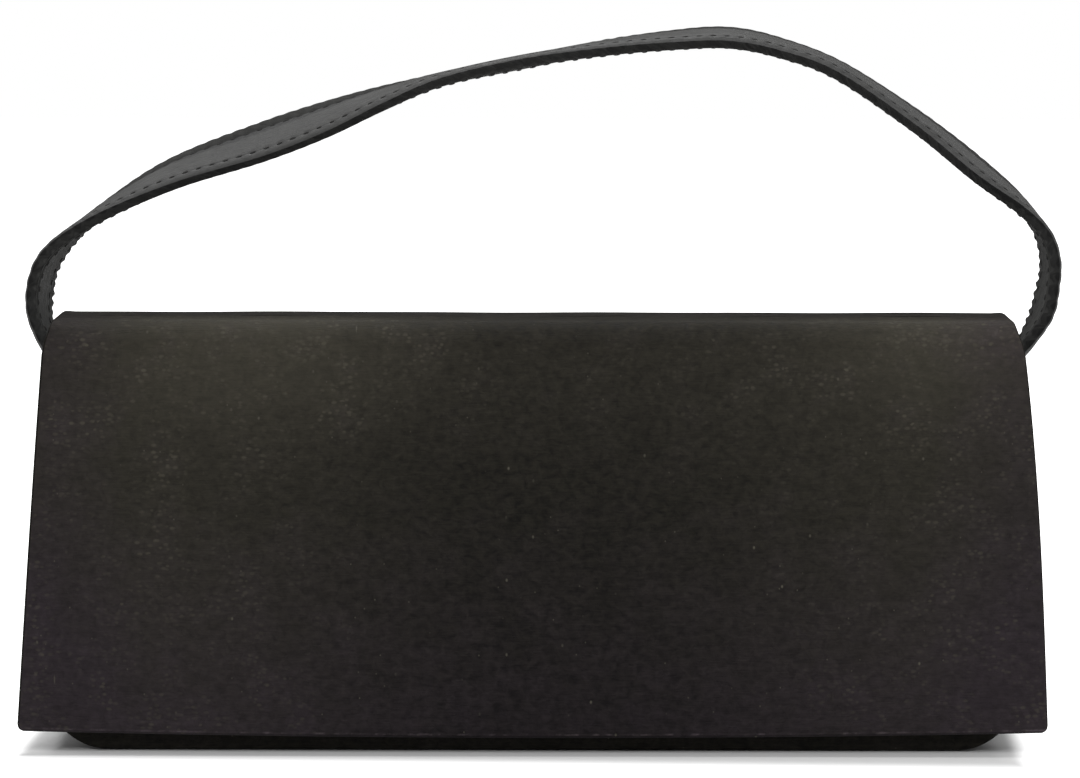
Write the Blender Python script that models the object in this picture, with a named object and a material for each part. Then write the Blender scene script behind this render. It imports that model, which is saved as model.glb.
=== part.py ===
# Black satin flap clutch with a stitched top strap.
# Metres, +Z up, front towards -Y, origin on the floor under the middle of the base.

from math import atan2, cos, pi, radians, sin, sqrt, tan

import bmesh
import bpy
from mathutils import Matrix, Vector

# Body of the bag, a wedge that narrows from its base to its mouth
BASE_DEPTH = 0.038
MOUTH_DEPTH = 0.024
TOP_HEIGHT = 0.1102
FRONT_PANEL_DROP = 0.0061
BODY_HALF_WIDTH_TOP = 0.1190
BODY_HALF_WIDTH_BASE = 0.1245
BODY_CORNER_RADIUS = 0.016

# Spine along the top, and the flap that hangs from it over the whole front
SPINE_HALF_WIDTH = 0.1215
FOLD_RADIUS = 0.0060
FOLD_GAP = 0.0006
FLAP_HALF_WIDTH_TOP = 0.1243
FLAP_HALF_WIDTH_BOTTOM = 0.1308
FLAP_LIFT = 0.0071
FLAP_CORNER_RADIUS = 0.0020
FLAP_EDGE_SAG = 0.0020
FLAP_SHOULDER = 0.0066

# Thickness of the materials, and the gap between neighbours
COVER_THICKNESS = 0.0006
BOARD_THICKNESS = 0.0014
LINING_THICKNESS = 0.0004
CLEARANCE = 0.0003

# Side gussets, soft between their ends
GUSSET_INSET = 0.0010
GUSSET_SAG = 0.0060
GUSSET_TOP_DROP = 0.0015
GUSSET_END_ANGLE = 76.0

# Slip pocket on the back lining
POCKET_HALF_WIDTH = 0.060
POCKET_HEIGHT = 0.058
POCKET_FOOT = 0.022
POCKET_ROOM = 0.0010
POCKET_WALL = 0.0005

# Magnetic snap inside the flap
SNAP_HEIGHT = 0.034
SNAP_RADIUS = 0.0070
SNAP_SOCKET_HEIGHT = 0.0019
SNAP_CUP_WALL = 0.0005
SNAP_HOLE_RADIUS = 0.0034
SNAP_MAGNET_DROP = 0.00015
SNAP_STUD_RADIUS = 0.0021
SNAP_STUD_LENGTH = 0.0013
SNAP_PLATE_THICKNESS = 0.0006
SNAP_SHANK_RADIUS = 0.0017
SNAP_WASHER_RADIUS = 0.0062
SNAP_WASHER_THICKNESS = 0.0005

# Strap, and the tabs that hold its ends against the back panel's side edges
STRAP_WIDTH = 0.0120
STRAP_THICKNESS = 0.0030
STRAP_SKIN = 0.0006
STRAP_ROOT_DROP = 0.0142
STRAP_ROOT_DEPTH = 0.0065
STRAP_RISE = 0.0880
STRAP_LEAN = 17.0
STRAP_END_LENGTH = 0.0052
STRAP_END_BLUNTNESS = 1.02
STRAP_STATIONS = 56
TAB_WIDTH = 0.0110
TAB_THICKNESS = 0.0010
TAB_LENGTH = 0.0200
TAB_HEAD = 0.0040
TAB_END_RADIUS = 0.0040

# The strap's middle line from its left root to its right one, seen square to the plane it leans in.
# Each row is the place across, as a share of the roots' half span, the place up, as a share of the
# rise, and how far the outer face is turned to the front, in degrees.
STRAP_ROUTE_SHARES = (
    (-1.000, 0.000, 0.0),
    (-1.027, 0.072, -6.0),
    (-1.045, 0.153, -12.0),
    (-1.044, 0.239, -12.0),
    (-1.024, 0.322, -4.0),
    (-0.967, 0.408, 11.0),
    (-0.880, 0.493, 25.0),
    (-0.754, 0.586, 42.0),
    (-0.584, 0.672, 54.0),
    (-0.456, 0.739, 49.0),
    (-0.329, 0.809, 32.0),
    (-0.201, 0.869, 17.0),
    (-0.030, 0.922, 12.0),
    (0.141, 0.966, 20.0),
    (0.293, 0.992, 26.0),
    (0.416, 1.000, 29.0),
    (0.526, 0.969, 27.0),
    (0.654, 0.898, 25.0),
    (0.824, 0.735, 27.0),
    (0.950, 0.589, 26.0),
    (1.039, 0.481, 13.0),
    (1.083, 0.392, 1.0),
    (1.095, 0.310, -5.0),
    (1.088, 0.233, -10.0),
    (1.073, 0.153, -13.0),
    (1.039, 0.072, -6.0),
    (1.000, 0.000, 0.0),
)

# Sizes that follow from those above
STACK = COVER_THICKNESS + BOARD_THICKNESS + LINING_THICKNESS + 2 * CLEARANCE
BOARD_OUT = COVER_THICKNESS + CLEARANCE
BOARD_IN = BOARD_OUT + BOARD_THICKNESS
LINING_OUT = BOARD_IN + CLEARANCE
EDGE_INSET = COVER_THICKNESS + CLEARANCE
PANEL_LEAN = atan2((BASE_DEPTH - MOUTH_DEPTH) / 2, TOP_HEIGHT - FOLD_RADIUS)
PANEL_FOOT = STACK * sin(PANEL_LEAN)
BACK_LENGTH = (TOP_HEIGHT - FOLD_RADIUS * (1 - sin(PANEL_LEAN)) - PANEL_FOOT) / cos(PANEL_LEAN)
FRONT_PANEL_LENGTH = BACK_LENGTH - FRONT_PANEL_DROP
FLAP_LENGTH = BACK_LENGTH - FLAP_LIFT
STRAP_ROOT_HEIGHT = TOP_HEIGHT - STRAP_ROOT_DROP
FOLD_TURN = pi / 2 - PANEL_LEAN
FOLD_ARC = FOLD_RADIUS * FOLD_TURN
FLAP_GAP = SNAP_SOCKET_HEIGHT + SNAP_PLATE_THICKNESS + 3 * CLEARANCE
BACK_FOLD = Vector((
    BASE_DEPTH / 2 - BACK_LENGTH * sin(PANEL_LEAN) - FOLD_RADIUS * cos(PANEL_LEAN),
    TOP_HEIGHT - FOLD_RADIUS,
))
FRONT_NORMAL = Vector((-cos(PANEL_LEAN), sin(PANEL_LEAN)))
FRONT_FOOT = Vector((-BASE_DEPTH / 2, PANEL_FOOT))
SPINE_LENGTH = (
    FLAP_GAP + STACK - FOLD_RADIUS - (BACK_FOLD - FRONT_FOOT).dot(FRONT_NORMAL)
) / cos(PANEL_LEAN)
FRONT_FOLD = BACK_FOLD - Vector((SPINE_LENGTH, 0))
SPINE_START = BACK_LENGTH + FOLD_ARC
SPINE_END = SPINE_START + SPINE_LENGTH
FLAP_START = SPINE_END + FOLD_ARC
FLAP_END = FLAP_START + FLAP_LENGTH
BACK_FOLD_MIDDLE = BACK_LENGTH + FOLD_ARC / 2
FRONT_FOLD_MIDDLE = SPINE_END + FOLD_ARC / 2
# A fold turns about the point where its two tangents would meet if the arc kept its length.
FOLD_PIVOT = FOLD_ARC / 2
# How far a cutter reaches past what it cuts
PAST = 4 * CLEARANCE

# Drawn length of the marks on the joints' axes
AXIS_MARK_LENGTH = 0.010

# How finely the curved shapes are divided
ROUND_SIDES = 32
FOLD_STEPS = 4
CORNER_STEPS = 7
SMALL_CORNER_STEPS = 3
SIDE_STEPS = 4
FLAP_COLUMNS = 8
FLAP_STEPS = 5
GUSSET_COLUMNS = 6
GUSSET_SIDE_STEPS = 8
GUSSET_CORNER_STEPS = 5
ROUTE_STEPS = 12


def frange(start, end, steps):
    return [start + (end - start) * step / steps for step in range(steps + 1)]


def rounded(end, inward, radius, steps=SMALL_CORNER_STEPS):
    """Stations that close in on a rounded end: the end, then points up to one radius inward of it."""
    return [end + inward * radius * (1 - cos(pi / 2 * step / steps)) for step in range(steps + 1)]


def clear_scene():
    for old in list(bpy.data.objects):
        bpy.data.objects.remove(old, do_unlink=True)


def new_material(name, colour, roughness, metallic=0.0):
    made = bpy.data.materials.new(name)
    made.use_nodes = True
    shader = made.node_tree.nodes["Principled BSDF"]
    shader.inputs["Base Color"].default_value = (*colour, 1.0)
    shader.inputs["Roughness"].default_value = roughness
    shader.inputs["Metallic"].default_value = metallic
    return made


def new_object(name, mesh_data, surface, pivot=None, smooth=False):
    """A named object from a bmesh in world metres, carried by the empty on its joint's axis if it moves."""
    bmesh.ops.recalc_face_normals(mesh_data, faces=mesh_data.faces)
    mesh = bpy.data.meshes.new(name)
    mesh_data.to_mesh(mesh)
    mesh_data.free()
    made = bpy.data.objects.new(name, mesh)
    bpy.context.scene.collection.objects.link(made)
    if surface:
        mesh.materials.append(surface)
    if smooth:
        mesh.shade_smooth()
        mesh.set_sharp_from_angle(angle=radians(35))
    if pivot:
        mesh.transform(Matrix.Translation(-pivot.matrix_world.translation))
        made.parent = pivot
    return made


def new_pivot(name, place, parent=None):
    made = bpy.data.objects.new(name, None)
    made.empty_display_size = AXIS_MARK_LENGTH
    bpy.context.scene.collection.objects.link(made)
    made.location = place
    if parent:
        made.parent = parent
        made.location = Vector(place) - parent.location
    bpy.context.view_layer.update()
    return made


def cut(target, cutter):
    """Takes the cutter's shape out of the target."""
    cutter.hide_render = True
    cutter.display_type = "WIRE"
    modifier = target.modifiers.new(cutter.name, "BOOLEAN")
    modifier.operation = "DIFFERENCE"
    modifier.solver = "EXACT"
    modifier.object = cutter


def loft(sections, strip_caps=False):
    """A closed skin over loops that each run across one face and back across the other.

    Both faces are split along the same diagonals, so that sheets laid on each other keep their gap.
    Strip caps suit a wide loop whose two faces have as many points.
    """
    skin = bmesh.new()
    rows = [[skin.verts.new(point) for point in section] for section in sections]
    count = len(rows[0])
    for near, far in zip(rows, rows[1:]):
        for i in range(count):
            j = (i + 1) % count
            if i < count // 2:
                skin.faces.new((near[i], near[j], far[j]))
                skin.faces.new((near[i], far[j], far[i]))
            else:
                skin.faces.new((near[i], near[j], far[i]))
                skin.faces.new((near[j], far[j], far[i]))
    for row in (rows[0], rows[-1]):
        if not strip_caps:
            skin.faces.new(row)
            continue
        for i in range(count // 2 - 1):
            skin.faces.new((row[i], row[i + 1], row[count - 2 - i], row[count - 1 - i]))
    return skin


def layer(place, stations, half_width, inset, outer, inner, columns=1):
    """A sheet of a panel between two depths below its outer face, narrower than its outline by the inset."""
    sections = []
    for station in stations:
        half = half_width(station, inset)
        full = half + inset
        across = frange(-half, half, columns)
        front = [place(x, x / full, station, outer) for x in across]
        back = [place(x, x / full, station, inner) for x in reversed(across)]
        sections.append(front + back)
    return loft(sections, strip_caps=True)


def turned(profile, frame):
    """A solid of revolution about the frame's z axis, from a closed outline of radius and height."""
    skin = bmesh.new()
    points = [skin.verts.new((radius, 0, height)) for radius, height in profile]
    edges = [skin.edges.new(pair) for pair in zip(points, points[1:] + points[:1])]
    bmesh.ops.spin(
        skin, geom=points + edges, axis=(0, 0, 1), angle=2 * pi, steps=ROUND_SIDES, use_merge=True
    )
    bmesh.ops.remove_doubles(skin, verts=skin.verts, dist=1e-6)
    bmesh.ops.transform(skin, matrix=frame, verts=skin.verts)
    return skin


def disc_profile(radius, low, high):
    return ((0, low), (radius, low), (radius, high), (0, high))


def ring_profile(hole, radius, low, high):
    return ((hole, low), (radius, low), (radius, high), (hole, high))


# Where each panel lies

def front_place(x, share, along, depth):
    """A point of the front panel: along is measured up from its foot."""
    y = FRONT_FOOT.x + along * sin(PANEL_LEAN) - depth * FRONT_NORMAL.x
    z = FRONT_FOOT.y + along * cos(PANEL_LEAN) - depth * FRONT_NORMAL.y
    return Vector((x, y, z))


def wrap_line(along):
    """Point and outward normal of the outer face, up the back, over the spine and down the flap."""
    up = Vector((-sin(PANEL_LEAN), cos(PANEL_LEAN)))
    if along <= BACK_LENGTH:
        return Vector((BASE_DEPTH / 2, PANEL_FOOT)) + up * along, Vector((cos(PANEL_LEAN), sin(PANEL_LEAN)))
    if along < SPINE_START:
        angle = PANEL_LEAN + (along - BACK_LENGTH) / FOLD_RADIUS
        normal = Vector((cos(angle), sin(angle)))
        return BACK_FOLD + FOLD_RADIUS * normal, normal
    if along <= SPINE_END:
        normal = Vector((0, 1))
        return BACK_FOLD + FOLD_RADIUS * normal - Vector((along - SPINE_START, 0)), normal
    if along < FLAP_START:
        angle = pi / 2 + (along - SPINE_END) / FOLD_RADIUS
        normal = Vector((cos(angle), sin(angle)))
        return FRONT_FOLD + FOLD_RADIUS * normal, normal
    down = Vector((-sin(PANEL_LEAN), -cos(PANEL_LEAN)))
    return FRONT_FOLD + FOLD_RADIUS * FRONT_NORMAL + down * (along - FLAP_START), FRONT_NORMAL


def wrap_place(x, share, along, depth):
    """A point of the back, spine or flap. The flap's lower edge sags between its corners."""
    if along > FLAP_START:
        along += FLAP_EDGE_SAG * (1 - share**2) * (along - FLAP_START) / FLAP_LENGTH
    point, normal = wrap_line(along)
    y, z = point - normal * depth
    return Vector((x, y, z))


def inner_depth(height):
    """Half depth between the inner faces of the front and back panels."""
    return BASE_DEPTH / 2 - (height - PANEL_FOOT) * tan(PANEL_LEAN) - STACK / cos(PANEL_LEAN)


def corner_centre():
    return BODY_HALF_WIDTH_BASE - BODY_CORNER_RADIUS


def body_half_width(along, inset):
    """Half width of the body's outline, with its lower corners rounded."""
    radius = BODY_CORNER_RADIUS
    if along < radius:
        return corner_centre() + sqrt(max((radius - inset) ** 2 - (radius - along) ** 2, 0))
    share = (along - radius) / (BACK_LENGTH - radius)
    return BODY_HALF_WIDTH_BASE + (BODY_HALF_WIDTH_TOP - BODY_HALF_WIDTH_BASE) * share - inset


def wrap_half_width(along, inset):
    """Half width of the back, spine or flap, widening over the fold to the flap's shoulders."""
    if along <= BACK_LENGTH:
        return body_half_width(along, inset)
    height = wrap_line(along)[0].y
    if along < SPINE_END:
        share = (TOP_HEIGHT - height) / (TOP_HEIGHT - wrap_line(BACK_LENGTH)[0].y)
        return SPINE_HALF_WIDTH + (BODY_HALF_WIDTH_TOP - SPINE_HALF_WIDTH) * share - inset
    drop = TOP_HEIGHT - height
    if drop < FLAP_SHOULDER:
        return SPINE_HALF_WIDTH + (FLAP_HALF_WIDTH_TOP - SPINE_HALF_WIDTH) * drop / FLAP_SHOULDER - inset
    share = (drop - FLAP_SHOULDER) / (FLAP_LENGTH - FLAP_SHOULDER)
    half = FLAP_HALF_WIDTH_TOP + (FLAP_HALF_WIDTH_BOTTOM - FLAP_HALF_WIDTH_TOP) * share
    radius = FLAP_CORNER_RADIUS
    left = FLAP_END - along
    if left < radius:
        half -= radius - sqrt(max((radius - inset) ** 2 - (radius - left) ** 2, 0)) - inset
    return half - inset


# The panels' stations, from the foot up or from the fold down

def body_stations(inset, top):
    corner = rounded(inset, 1, BODY_CORNER_RADIUS - inset, CORNER_STEPS)
    return corner + frange(BODY_CORNER_RADIUS, top, SIDE_STEPS)[1:]


def shoulder_station():
    """How far down the flap its shoulders end."""
    return FLAP_START + (FLAP_SHOULDER - FOLD_RADIUS * (1 - sin(PANEL_LEAN))) / cos(PANEL_LEAN)


def flap_stations(inset, start):
    low = FLAP_END - inset
    straight = frange(shoulder_station(), FLAP_END - FLAP_CORNER_RADIUS, FLAP_STEPS)
    return [start] + straight + rounded(low, -1, FLAP_CORNER_RADIUS - inset)[-2::-1]


def tray(name, place, half_width, outer_stations, inner_stations, surface, pivot=None, columns=1):
    """A cover that wraps a board: a sheet whose edges turn in as far as the lining."""
    shell = new_object(
        name, layer(place, outer_stations, half_width, 0, 0, STACK, columns), surface, pivot, smooth=True
    )
    room = layer(
        place, inner_stations, half_width, COVER_THICKNESS, COVER_THICKNESS, STACK + PAST, columns
    )
    cut(shell, new_object(name + "_room", room, None, pivot))
    return shell


def base_place(x, share, along, depth):
    """A point of the base: along runs from front to back, and the outer face is its underside."""
    return Vector((x, along, depth))


def base_half_length(along, inset):
    reach = BODY_CORNER_RADIUS - GUSSET_INSET - COVER_THICKNESS - LINING_THICKNESS - CLEARANCE
    return corner_centre() + reach * cos(radians(GUSSET_END_ANGLE)) - CLEARANCE - inset


def gusset_place(side, step_angle, height, v, depth):
    """A point of a gusset: down the body's side, then round its lower corner. v runs from front to back."""
    span = FRONT_PANEL_LENGTH - BODY_CORNER_RADIUS
    rise = max(height - BODY_CORNER_RADIUS, 0) / span
    sag = GUSSET_SAG * sin(pi * min(rise, 1)) ** 2 * (1 - v**2)
    inset = GUSSET_INSET + depth + sag
    if step_angle is None:
        x = body_half_width(height, inset)
        z = height
    else:
        x = corner_centre() + (BODY_CORNER_RADIUS - inset) * cos(step_angle)
        z = BODY_CORNER_RADIUS - (BODY_CORNER_RADIUS - inset) * sin(step_angle)
    y = v * (inner_depth(z) - CLEARANCE)
    return Vector((side * x, y, z))


def gusset_sheet(side, outer, inner):
    top = FRONT_PANEL_LENGTH - GUSSET_TOP_DROP
    stops = [(None, height) for height in frange(top, BODY_CORNER_RADIUS, GUSSET_SIDE_STEPS)]
    turns = frange(0, radians(GUSSET_END_ANGLE), GUSSET_CORNER_STEPS)[1:]
    stops += [(angle, 0) for angle in turns]
    across = frange(-1, 1, GUSSET_COLUMNS)
    sections = []
    for angle, height in stops:
        front = [gusset_place(side, angle, height, v, outer) for v in across]
        back = [gusset_place(side, angle, height, v, inner) for v in reversed(across)]
        sections.append(front + back)
    return loft(sections, strip_caps=True)


# The strap

def root_half_span():
    """How far out the strap's middle line is at its roots: just outside the tabs."""
    ends = STRAP_ROOT_HEIGHT - STRAP_END_LENGTH, STRAP_ROOT_HEIGHT + TAB_HEAD
    side = max(body_half_width(height - PANEL_FOOT, 0) for height in ends)
    return side + TAB_THICKNESS + 2 * CLEARANCE + STRAP_THICKNESS / 2


def strap_route():
    span = root_half_span()
    route = [(across * span, up * STRAP_RISE, turn) for across, up, turn in STRAP_ROUTE_SHARES]
    foot = STRAP_END_LENGTH
    return [(-span, -foot, route[0][2])] + route + [(span, -foot, route[-1][2])]


def smooth_point(before, start, end, after, share):
    """A point of the smooth curve between two points of a route."""
    out = []
    for a, b, c, d in zip(before, start, end, after):
        slope_in, slope_out = (c - a) / 2, (d - b) / 2
        out.append(
            b * (2 * share**3 - 3 * share**2 + 1)
            + slope_in * (share**3 - 2 * share**2 + share)
            + c * (3 * share**2 - 2 * share**3)
            + slope_out * (share**3 - share**2)
        )
    return out


def strap_samples():
    """The smooth line through the route: place across, place up and turn."""
    route = strap_route()
    samples = []
    for i in range(len(route) - 1):
        before, after = route[max(i - 1, 0)], route[min(i + 2, len(route) - 1)]
        for step in range(ROUTE_STEPS):
            share = step / ROUTE_STEPS
            samples.append(smooth_point(before, route[i], route[i + 1], after, share))
    return samples + [list(route[-1])]


def strap_stations():
    """Places along the strap: its middle, the way across it, its outer face's normal and its narrowing."""
    samples = strap_samples()
    run = [0.0]
    for a, b in zip(samples, samples[1:]):
        run.append(run[-1] + sqrt((a[0] - b[0]) ** 2 + (a[1] - b[1]) ** 2))
    wanted = rounded(0, 1, STRAP_END_LENGTH)
    wanted += frange(STRAP_END_LENGTH, run[-1] - STRAP_END_LENGTH, STRAP_STATIONS)[1:-1]
    wanted += rounded(run[-1], -1, STRAP_END_LENGTH)[::-1]
    lean = radians(STRAP_LEAN)
    rise = Vector((0, sin(lean), cos(lean)))
    behind = Vector((0, cos(lean), -sin(lean)))
    root = Vector((0, STRAP_ROOT_DEPTH, STRAP_ROOT_HEIGHT))
    stations = []
    for distance in wanted:
        i = max(j for j in range(len(run) - 1) if run[j] <= distance + 1e-9)
        share = (distance - run[i]) / (run[i + 1] - run[i])
        x, up, turn = (a + (b - a) * share for a, b in zip(samples[i], samples[i + 1]))
        before, after = samples[max(i - 3, 0)], samples[min(i + 4, len(samples) - 1)]
        along = Vector((after[0] - before[0], 0, 0)) + (after[1] - before[1]) * rise
        outward = along.normalized().cross(behind)
        turned_by = radians(turn)
        width = cos(turned_by) * behind + sin(turned_by) * outward
        face = cos(turned_by) * outward - sin(turned_by) * behind
        left = min(distance, run[-1] - distance)
        near_end = max(STRAP_END_LENGTH - left, 0) / (STRAP_END_LENGTH * STRAP_END_BLUNTNESS)
        stations.append((root + Vector((x, 0, 0)) + rise * up, width, face, sqrt(1 - near_end**2)))
    return stations


def strap_piece(outline):
    """A layer of the strap from its cross-section: places across the width and over the middle."""
    sections = []
    for middle, width, face, narrowing in strap_stations():
        sections.append([middle + width * across * narrowing + face * height for across, height in outline])
    return loft(sections)


def channel_outline():
    """The outer satin: a wide face whose two edges turn down round the core."""
    half, thick = STRAP_WIDTH / 2, STRAP_THICKNESS / 2
    inside = half - STRAP_SKIN
    return (
        (-half, thick), (half, thick), (half, -thick), (inside, -thick),
        (inside, thick - STRAP_SKIN), (-inside, thick - STRAP_SKIN), (-inside, -thick), (-half, -thick),
    )


def bar_outline(low, high):
    half = STRAP_WIDTH / 2 - STRAP_SKIN - CLEARANCE
    return ((-half, high), (half, high), (half, low), (-half, low))


def build():
    clear_scene()
    satin = new_material("black_satin", (0.018, 0.016, 0.016), 0.42)
    strap_satin = new_material("black_satin_strap", (0.030, 0.028, 0.028), 0.38)
    board = new_material("grey_board", (0.32, 0.29, 0.25), 0.90)
    lining = new_material("black_lining", (0.012, 0.012, 0.013), 0.60)
    webbing = new_material("strap_webbing", (0.05, 0.05, 0.05), 0.85)
    nickel = new_material("nickel_plated_brass", (0.62, 0.60, 0.56), 0.25, 1.0)
    magnet = new_material("magnet_steel", (0.20, 0.20, 0.21), 0.40, 1.0)
    washer = new_material("steel_washer", (0.55, 0.55, 0.56), 0.35, 1.0)

    back_pivot = BACK_FOLD + Vector((FOLD_PIVOT, FOLD_PIVOT))
    front_pivot = FRONT_FOLD + Vector((-FOLD_PIVOT, FOLD_PIVOT))
    spine = new_pivot("spine_fold_axis", (0, back_pivot.x, back_pivot.y))
    flap = new_pivot("flap_fold_axis", (0, front_pivot.x, front_pivot.y), spine)
    strap = new_pivot("strap_swing_axis", (0, STRAP_ROOT_DEPTH, STRAP_ROOT_HEIGHT))
    build_base(satin, board, lining)
    front_cover, front_board = build_front(satin, board, lining)
    build_back(satin, board, lining)
    build_gussets(satin, lining)
    build_spine(satin, board, lining, spine)
    flap_board, flap_lining = build_flap(satin, board, lining, flap)
    build_snap(nickel, magnet, washer, flap, front_cover, front_board, flap_board, flap_lining)
    build_strap(satin, strap_satin, webbing, strap)


def build_base(satin, board, lining):
    half = inner_depth(STACK) - CLEARANCE
    outer = [-half, half]
    inner = [-half + COVER_THICKNESS, half - COVER_THICKNESS]
    fitted = [-half + EDGE_INSET, half - EDGE_INSET]
    tray("base_cover", base_place, base_half_length, outer, inner, satin)
    stiff = layer(base_place, fitted, base_half_length, EDGE_INSET, BOARD_OUT, BOARD_IN)
    new_object("base_board", stiff, board)
    soft = layer(base_place, fitted, base_half_length, EDGE_INSET, LINING_OUT, STACK)
    new_object("base_lining", soft, lining)


def build_front(satin, board, lining):
    top = FRONT_PANEL_LENGTH
    cover = tray(
        "front_cover", front_place, body_half_width,
        body_stations(0, top), body_stations(COVER_THICKNESS, top - COVER_THICKNESS), satin,
    )
    fitted = body_stations(EDGE_INSET, top - EDGE_INSET)
    stiff = layer(front_place, fitted, body_half_width, EDGE_INSET, BOARD_OUT, BOARD_IN)
    front_board = new_object("front_board", stiff, board)
    soft = layer(front_place, fitted, body_half_width, EDGE_INSET, LINING_OUT, STACK)
    new_object("front_lining", soft, lining)
    return cover, front_board


def build_back(satin, board, lining):
    top = BACK_FOLD_MIDDLE - FOLD_GAP / 2
    over = frange(BACK_LENGTH, top, FOLD_STEPS)[1:]
    tray(
        "back_cover", wrap_place, wrap_half_width,
        body_stations(0, BACK_LENGTH) + over,
        body_stations(COVER_THICKNESS, BACK_LENGTH) + over + [top + FOLD_GAP], satin,
    )
    rows = body_stations(EDGE_INSET, BACK_LENGTH - CLEARANCE)
    stiff = layer(wrap_place, rows, wrap_half_width, EDGE_INSET, BOARD_OUT, BOARD_IN)
    new_object("back_board", stiff, board)
    rows = body_stations(EDGE_INSET, BACK_LENGTH) + over
    soft = layer(wrap_place, rows, wrap_half_width, EDGE_INSET, LINING_OUT, STACK)
    new_object("back_lining", soft, lining)
    build_pocket(lining)


def pocket_half_width(along, inset):
    return POCKET_HALF_WIDTH - inset


def build_pocket(lining):
    near, far = STACK + CLEARANCE, STACK + CLEARANCE + POCKET_ROOM + POCKET_WALL
    rim = [POCKET_FOOT, POCKET_FOOT + POCKET_HEIGHT]
    pocket = new_object("slip_pocket", layer(wrap_place, rim, pocket_half_width, 0, near, far), lining)
    room = [POCKET_FOOT + POCKET_WALL, POCKET_FOOT + POCKET_HEIGHT + PAST]
    hollow = layer(wrap_place, room, pocket_half_width, POCKET_WALL, near - PAST, far - POCKET_WALL)
    cut(pocket, new_object("slip_pocket_room", hollow, None))


def build_gussets(satin, lining):
    for side, name in ((-1, "left"), (1, "right")):
        new_object(name + "_gusset", gusset_sheet(side, 0, COVER_THICKNESS), satin, smooth=True)
        depth = COVER_THICKNESS + CLEARANCE
        soft = gusset_sheet(side, depth, depth + LINING_THICKNESS)
        new_object(name + "_gusset_lining", soft, lining, smooth=True)


def build_spine(satin, board, lining, pivot):
    start, end = BACK_FOLD_MIDDLE + FOLD_GAP / 2, FRONT_FOLD_MIDDLE - FOLD_GAP / 2
    stations = frange(start, SPINE_START, FOLD_STEPS) + frange(SPINE_END, end, FOLD_STEPS)
    past = [start - FOLD_GAP] + stations + [end + FOLD_GAP]
    tray("spine_cover", wrap_place, wrap_half_width, stations, past, satin, pivot)
    flat = [SPINE_START + CLEARANCE, SPINE_END - CLEARANCE]
    stiff = layer(wrap_place, flat, wrap_half_width, EDGE_INSET, BOARD_OUT, BOARD_IN)
    new_object("spine_board", stiff, board, pivot)
    soft = layer(wrap_place, stations, wrap_half_width, EDGE_INSET, LINING_OUT, STACK)
    new_object("spine_lining", soft, lining, pivot, smooth=True)


def build_flap(satin, board, lining, pivot):
    start = FRONT_FOLD_MIDDLE + FOLD_GAP / 2
    over = frange(start, FLAP_START, FOLD_STEPS)
    tray(
        "flap_cover", wrap_place, wrap_half_width,
        over[:-1] + flap_stations(0, FLAP_START),
        [start - FOLD_GAP] + over[:-1] + flap_stations(COVER_THICKNESS, FLAP_START),
        satin, pivot, FLAP_COLUMNS,
    )
    rows = flap_stations(EDGE_INSET, FLAP_START + CLEARANCE)
    stiff = layer(wrap_place, rows, wrap_half_width, EDGE_INSET, BOARD_OUT, BOARD_IN, FLAP_COLUMNS)
    flap_board = new_object("flap_board", stiff, board, pivot)
    rows = over[:-1] + flap_stations(EDGE_INSET, FLAP_START)
    soft = layer(wrap_place, rows, wrap_half_width, EDGE_INSET, LINING_OUT, STACK, FLAP_COLUMNS)
    flap_lining = new_object("flap_lining", soft, lining, pivot)
    return flap_board, flap_lining


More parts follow.
